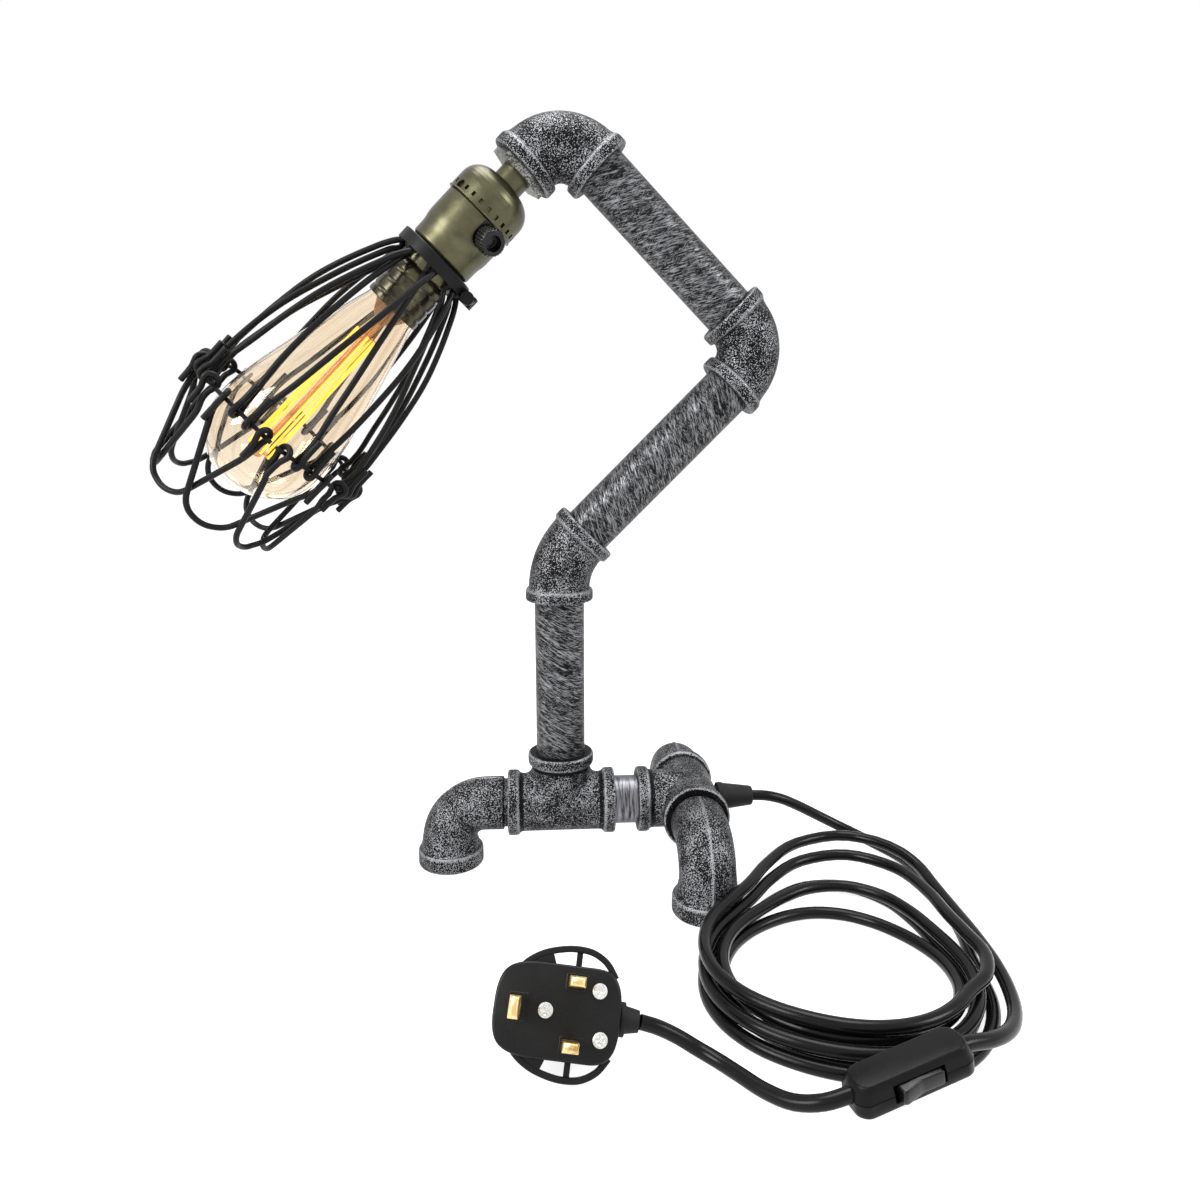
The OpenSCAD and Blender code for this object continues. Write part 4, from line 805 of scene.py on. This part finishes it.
# the hook's loop, its tail's distance from the leg's line, and the step by which crossing legs part
loop_r, twin, cross_out = rod_r + wire_r + 0.7, wire_r + 0.2, 1.85
pin_r, pin_arch, pin_spread, collar_end, pin_top = 18.25, 5.6, 40.0, 93.5, 90.3


def on_cage(grid, angle):
    """A wire made at the head's front, turned round the cage to its own angle."""
    return skin(moved(grid, head_turn @ rot("z", cage_turn + angle), top_at))


def hook(tail):
    """A hook from the leg round the rod and back along the tail: [outwards, towards the leg]."""
    a = np.radians(300 - 30 * np.arange(9))
    leg = np.array([[-twin, 6.4], [-twin * 1.1, 4.6], [-loop_r * 0.72, 3.1]])
    loop = loop_r * np.stack([np.sin(a), np.cos(a)], 1)
    return np.vstack([leg, loop, leg[::-1] * [-1, 1], [[twin, tail]]])


def round_head(angle, r, z):
    """Points by their angle round the head's axis from the front, distance from it and place along it."""
    a = np.radians(angle)
    return np.stack([r * np.sin(a), -r * np.cos(a), z + 0 * a], 1)


def pin_half(sign):
    """Half a hairpin: a quarter and more of its round end, a leg that flares as a parabola, and the hook. Where
    two legs cross, one goes outside and one inside by the same step."""
    out = lambda z: sign * cross_out * ease((z - collar_end + 0.3) / 3) * (1 - ease((z - pin_top - 38) / 45))
    a = np.radians(np.arange(15, 91, 15))
    z = pin_top + pin_arch * (1 - np.cos(a))
    first = round_head(sign * np.degrees(np.arcsin(pin_arch * np.sin(a) / pin_r)), pin_r + out(z), z)
    bottom = pin_top + pin_arch
    z = bottom + np.array([5, 13, 25, 41, 60, 80.])
    v = np.maximum(0, z - collar_end - 1.5) / (ring_z - collar_end - 1.5)
    flare = pin_r + (hook_r - twin - pin_r) * (1 - (1 - v) ** 2)
    a0 = np.degrees(np.arcsin(pin_arch / pin_r))
    angle = a0 + (pin_spread - a0) * ((z - bottom) / (ring_z - bottom)) ** 0.6
    h = hook(15)
    return np.vstack([first, round_head(sign * angle, flare + out(z), z),
                      round_head(np.full(len(h), sign * pin_spread), hook_r + h[:, 0], ring_z - h[:, 1])])


pin_line = np.vstack([pin_half(-1)[::-1], round_head(np.zeros(1), pin_r, pin_top), pin_half(1)])
pin_grid = wire_shell(pin_line, (1, 0, 0), wire_r)
make("upper_wires", [on_cage(pin_grid, 45 * k + 22.5) for k in range(8)], painted, "head", ["cage_hairpins"])

# ------------------------------------------------------------------ rods of the ring
# Eight short straight rods that make the ring: the hooks of the upper and the lower wires turn on them.
rod_half = inner_r * np.tan(np.radians(22.5)) - 1.8
rod_grid = wire_shell([[x, -inner_r, ring_z] for x in (-rod_half, 0, rod_half)], (1, 0, 0), rod_r)
make("ring_rods", [on_cage(rod_grid, 45 * k + 22.5) for k in range(8)], painted, "head", ["cage_rods"])

# ------------------------------------------------------------------ lower wires of the cage
# Eight wires bent like a U lean in from the ring to the mouth. Each hangs with a hook on two neighbouring rods
# and opens outwards.
mouth_ring, petal_spread, petal_drop, petal_arc, leg_from = 33.5, 38.0, 56.0, 14.0, 7.5
petal_hook_r = inner_r / np.cos(np.radians(petal_spread - 22.5))
petal_half = petal_hook_r * np.sin(np.radians(petal_spread))
petal_line = petal_hook_r * np.cos(np.radians(petal_spread))
petal_lean = np.arctan((petal_line - twin - mouth_ring) / petal_drop)
petal_long = petal_drop / np.cos(petal_lean)
arc_q = petal_long - petal_arc
leg_dist = np.hypot(petal_half, arc_q - leg_from)
leg_ang = np.arctan(petal_half / (arc_q - leg_from)) - np.arcsin(petal_arc / leg_dist)
leg_len = np.sqrt(leg_dist ** 2 - petal_arc ** 2)


def leaning_in(x, out, q):
    """Points of the plane that leans in: x across it, out square to it and q down it from the ring."""
    c, s = np.cos(petal_lean), np.sin(petal_lean)
    return np.stack([x, -(petal_line + out * c - q * s), ring_z + q * c + out * s], 1)


def petal_points(sign):
    """Half of a lower wire from its middle to the hook's tail: an arc, a straight leg that is tangent to it,
    and the hook. The leg steps out or in where it crosses its neighbour's."""
    a = np.radians(np.arange(15, 90 - np.degrees(leg_ang) + 0.01, 15))
    s = np.array([0.04, 0.3, 0.55, 0.8, 0.97]) * leg_len
    h = hook(14)
    x = np.hstack([petal_arc * np.sin(a), petal_arc * np.cos(leg_ang) + s * np.sin(leg_ang),
                   np.full(len(h), petal_half)])
    q = np.hstack([arc_q + petal_arc * np.cos(a), arc_q + petal_arc * np.sin(leg_ang) - s * np.cos(leg_ang),
                   h[:, 1]])
    step = cross_out * ease(x / 9) * ease((np.hstack([np.full(len(a), arc_q), q[len(a):]]) - 9) / 9)
    step[-len(h):] = 0
    out = np.hstack([np.full(len(a) + len(s), -twin), h[:, 0]]) + sign * step
    return leaning_in(sign * x, out, q)


middle = leaning_in(np.zeros(1), np.full(1, -twin), petal_long)
petal_grid = wire_shell(np.vstack([petal_points(-1)[::-1], middle, petal_points(1)]), (1, 0, 0), wire_r)
for k in range(1, 9):
    name = f"lower_wire_{k}"
    make(name, [on_cage(petal_grid, 45 * (k - 1))], painted, name, [f"petal_{k}"])

# ------------------------------------------------------------------ in-line switch
# A slim black plastic switch on the cord, moulded in two halves with soft edges. A rocker stands out of its
# long side and turns on a pin. The switch leans on the coil.
switch_turn = rot("z", 13.7) @ rot("y", -10.2)
switch_at = np.array([cord_x + 48.6, -201.1, 9.2])
case_black = moulded("case_black", 1.2, 0.09, 0.26, 0.36, (0.004, 0.004, 0.004, 1), (0.008, 0.008, 0.009, 1),
                     0.12, 0.00006, 0.7)
case_half, case_wide, well_half, well = 25.0, 8.0, 10.8, 5.1     # half length and width, the rocker's hollow


def stacked(levels, outline):
    """Grid of one outline at several heights: rows of (height, how far the outline is drawn in and any more
    values for it)."""
    rows = ((z, outline(*values)) for z, *values in levels)
    return np.stack([np.hstack([row, np.full((len(row), 1), z)]) for z, row in rows])


def case_outline(inset, notch):
    """The switch from above: a long eight-sided outline with soft corners, hollowed at its near side."""
    l, w = case_half - inset, case_wide - inset
    return eased([[-l, 3 - w], [3 - l, -w], [-well_half, -w], [-well_half, notch - w], [well_half, notch - w],
                  [well_half, -w], [l - 3, -w], [l, 3 - w], [l, w - 3], [l - 3, w], [3 - l, w], [-l, w - 3]],
                 [2, 2, 0.4, 0.2, 0.2, 0.4, 2, 2, 2, 2, 2, 2], 7)


def rocker_outline(inset):
    """The rocker from above: one end stands out in a rounded beak, the other lies in the case."""
    p = np.array([[-9.4, -0.6], [-9, -5.8], [-7.6, -6], [-1.5, -4.4], [0, -4], [9.2, -4.2], [9.4, -0.6],
                  [3, 1.4], [-3, 1.4]])
    return eased(p * [1 - inset / 9.4, 1], [0.5, 0.8, 0.8, 1.5, 0.8, 0.6, 0.8, 1, 1], 6) * [1, 1 - inset / 6]


lower_case = stacked([(0, 0.9, 0.01), (0.25, 0.3, 0.01), (0.9, 0, 0.01), (2.5, 0, 0.01), (2.6, 0, well),
                      (5.5, 0, well), (5.75, 0.25, well - 0.25)], case_outline)
upper_case = stacked([(5.85, 0.25, well - 0.25), (6.1, 0, well), (9.2, 0.9, well - 0.9), (9.3, 0.93, 0.01),
                      (11.5, 1.7, 0.01), (11.85, 2.0, 0.01), (12, 2.5, 0.01)], case_outline)
rocker_grid = stacked([(3, 0.7), (3.2, 0.2), (3.6, 0), (8.2, 0), (8.6, 0.2), (8.8, 0.7)], rocker_outline)
switch_low, switch_up, rocker = (
    make(name, [skin(moved(grid, switch_turn, switch_at))], finish, body, [node], 45)
    for name, grid, finish, body, node in (("switch_case_low", lower_case, case_black, "base", "switch_lower"),
                                           ("switch_case_up", upper_case, case_black, "base", "switch_upper"),
                                           ("rocker_button", rocker_grid + [0, -4.9, 0], phenolic, "rocker",
                                            "switch_rocker")))

# ------------------------------------------------------------------ plug
# A three-pin plug of hard black plastic: a base that carries the pins and a finger loop at each side, and a
# rounded cover behind it. Brass pins stand in the base, three nickel-plated screws hold it, and a short rubber
# sleeve guards the cord.
plug_turn = rot("x", 55) @ rot("z", -9)
plug_at = np.array([cord_x - 79.5, -173.5, 25.2])
plug_half, plug_wide = 24.5, 17.0
earth_at, line_at, line_out = -16.0, 6.2, 11.1      # the pins along the face, and the line pins across it
plug_black = moulded("plug_black", 1.0, 0.12, 0.24, 0.4, (0.005, 0.005, 0.005, 1), (0.011, 0.011, 0.011, 1),
                     0.2, 0.00005)


def on_plug(grid, ring=False):
    """A shell made on the plug's face and put in its place."""
    return skin(moved(grid, plug_turn, plug_at), ring)


def plug_outline(inset):
    """The plug's face: a blunt D, rounder at the earth pin's end than at the cord's."""
    l, w = plug_half - inset, plug_wide - inset
    return eased([[-l, 6 - w], [8 - l, -w], [l - 5, -w], [l, 7 - w], [l, w - 7], [l - 5, w], [8 - l, w],
                  [-l, w - 6]], [9, 9, 6, 7, 7, 6, 9, 9], 9)


def block(x, y, half_x, half_y, soft):
    """An upright block's outline, by how far it is drawn in: a rectangle with soft corners round a point."""
    square = np.array([[-1, -1], [1, -1], [1, 1], [-1, 1]])
    return lambda inset: eased(square * [half_x - inset, half_y - inset], soft, 4) + [x, y]


def pin_rim(x, y, half_x, half_y):
    """A low square rim that stands on the face round a pin."""
    levels = [(-0.3, 0), (0.25, 0), (0.4, 0.15), (0.4, 0.5), (0.25, 0.65), (-0.3, 0.65)]
    return on_plug(stacked(levels, block(x, y, half_x, half_y, 0.6)), ring=True)


def flat_pin(x, y, half_x, half_y, long):
    """A flat brass pin with soft edges and a chamfered tip, from inside the base to its end."""
    levels = [(-5.9, 0), (long - 1.6, 0), (long - 0.4, 0.55), (long, 0.9)]
    return on_plug(stacked(levels, block(x, y, half_x, half_y, 0.4)))


# Finger loop: a flat strip with soft edges carried along a bow beside the face, with a web and a root to it.
loop_line = through([[-17.5, 12.5], [-13.5, 16.8], [-8.5, 20], [-2, 22.2], [5, 23.2], [12, 22.4], [17.6, 19.2],
                     [21.6, 14]], 6)
beside = unit(np.gradient(loop_line, axis=0))[:, ::-1] * [-1, 1]
section = eased([[-1.25, -6], [1.25, -6], [1.25, -2.6], [-1.25, -2.6]], 0.7, 5)
loop_grid = np.concatenate([loop_line[:, None] + section[:, :1] * beside[:, None],
                            np.broadcast_to(section[:, 1:], (len(loop_line), len(section), 1))], 2)
web = eased([[5.2, 16.5], [7.6, 16.5], [7.6, 23], [5.2, 23]], 0.2, 3)
root = eased([[-18, 11], [-14, 16.4], [-8.6, 20.2], [-4.4, 21.6], [-2.2, 16.4], [-2.2, 14]],
             [1, 4, 2, 0.4, 2, 1])
web_grid, root_grid = (stacked([(-5.9,), (top,)], lambda: line) for line, top in ((web, -4.6), (root, -2.8)))
base_grid = stacked([(-6.05, 0.3), (-5.8, 0), (-0.7, 0), (-0.2, 0.25), (0, 0.8)], plug_outline)
parts = [base_grid] + [grid * [1, side, 1] for grid in (loop_grid, web_grid, root_grid) for side in (1, -1)]
rims = [pin_rim(earth_at + 0.8, 0, 3.9, 5.2)] + [pin_rim(line_at + 0.2, y, 4.4, 3.1)
                                                 for y in (line_out, -line_out)]
plug_base = make("plug_face", [on_plug(grid) for grid in parts] + rims, plug_black, "base", ["plug_base"],
                 45)
cover_grid = stacked([(-20, 8), (-19.8, 6), (-18.8, 4.2), (-17, 2.8), (-14.5, 1.4), (-11, 0.5), (-8, 0.1),
                      (-6.5, 0), (-6.15, 0.3)], plug_outline)
plug_cover = make("plug_back", [on_plug(cover_grid)], plug_black, "base", ["plug_cover"], 45)

pin_brass = worn_metal("pin_brass", streaks, (0.52, 0.35, 0.13, 1), (0.78, 0.58, 0.27, 1), 1.0, 0.22, 0.32,
                       Scale=0.5, Cover=0.8)
earth = make("pin_of_earth", [flat_pin(earth_at, 0, 2, 4, 22.7)], pin_brass, "base", ["earth_pin"], 45)
lines = make("pins_of_line", [flat_pin(line_at, y, 3.15, 2, 17.7) for y in (-line_out, line_out)], pin_brass,
             "base", ["line_pins"], 45)

# Screws: a domed head with a cross slot, turned down over its edge to a shank.
nickel = worn_metal("nickel", rubbed, (0.62, 0.62, 0.6, 1), (0.8, 0.8, 0.78, 1), 1.0, 0.2, 0.3,
                    Scale=2.0, Cover=0.3, Wear=0.0)
r, phi = np.linspace(0.02, 2.85, 20)[:, None], 2 * np.pi * np.arange(64) / 64
near_slot = np.minimum(abs(r * np.sin(phi)), abs(r * np.cos(phi)))
top = 1.2 - 0.05 * r ** 2 - 0.55 * ease((0.62 - near_slot) / 0.25) * ease((1.9 - r) / 0.3)
head = np.stack([r * np.cos(phi), r * np.sin(phi), top], 2)
head = np.concatenate([head] + [head[-1:] * [wide, wide, 0] + [0, 0, z] for wide, z in (
    (1.018, 0.5), (1.018, 0.05), (0.62, 0.04), (0.62, -8.4))])
plug_screws = make("screws_of_plug", [on_plug(head + [x, y, 0]) for x, y in ((-4.5, 0), (17.5, -8), (15.5, 9))],
                   nickel, "base", ["plug_screws"], 45)
s = np.linspace(0, 1, 41)
sleeve_line = np.vstack([eased([[3.1, 17], [5, 17], [5, 24.8], [6.4, 24.8], [6.4, 26.8], [5.4, 27]],
                               [0.2, 0.3, 0.2, 0.5, 0.5, 0.1]),
                         np.stack([5.1 - 1.0 * s, 27 + 5.3 * s], 1), [[3.8, 32.5], [3.1, 32.5]]])
sleeve_grid = moved(turned(sleeve_line, 48), rot("y", 90), (0, 0, -9.5))
plug_sleeve = make("sleeve_of_plug", [on_plug(sleeve_grid, ring=True)], rubber, "base", ["plug_sleeve"])

bpy.context.view_layer.update()
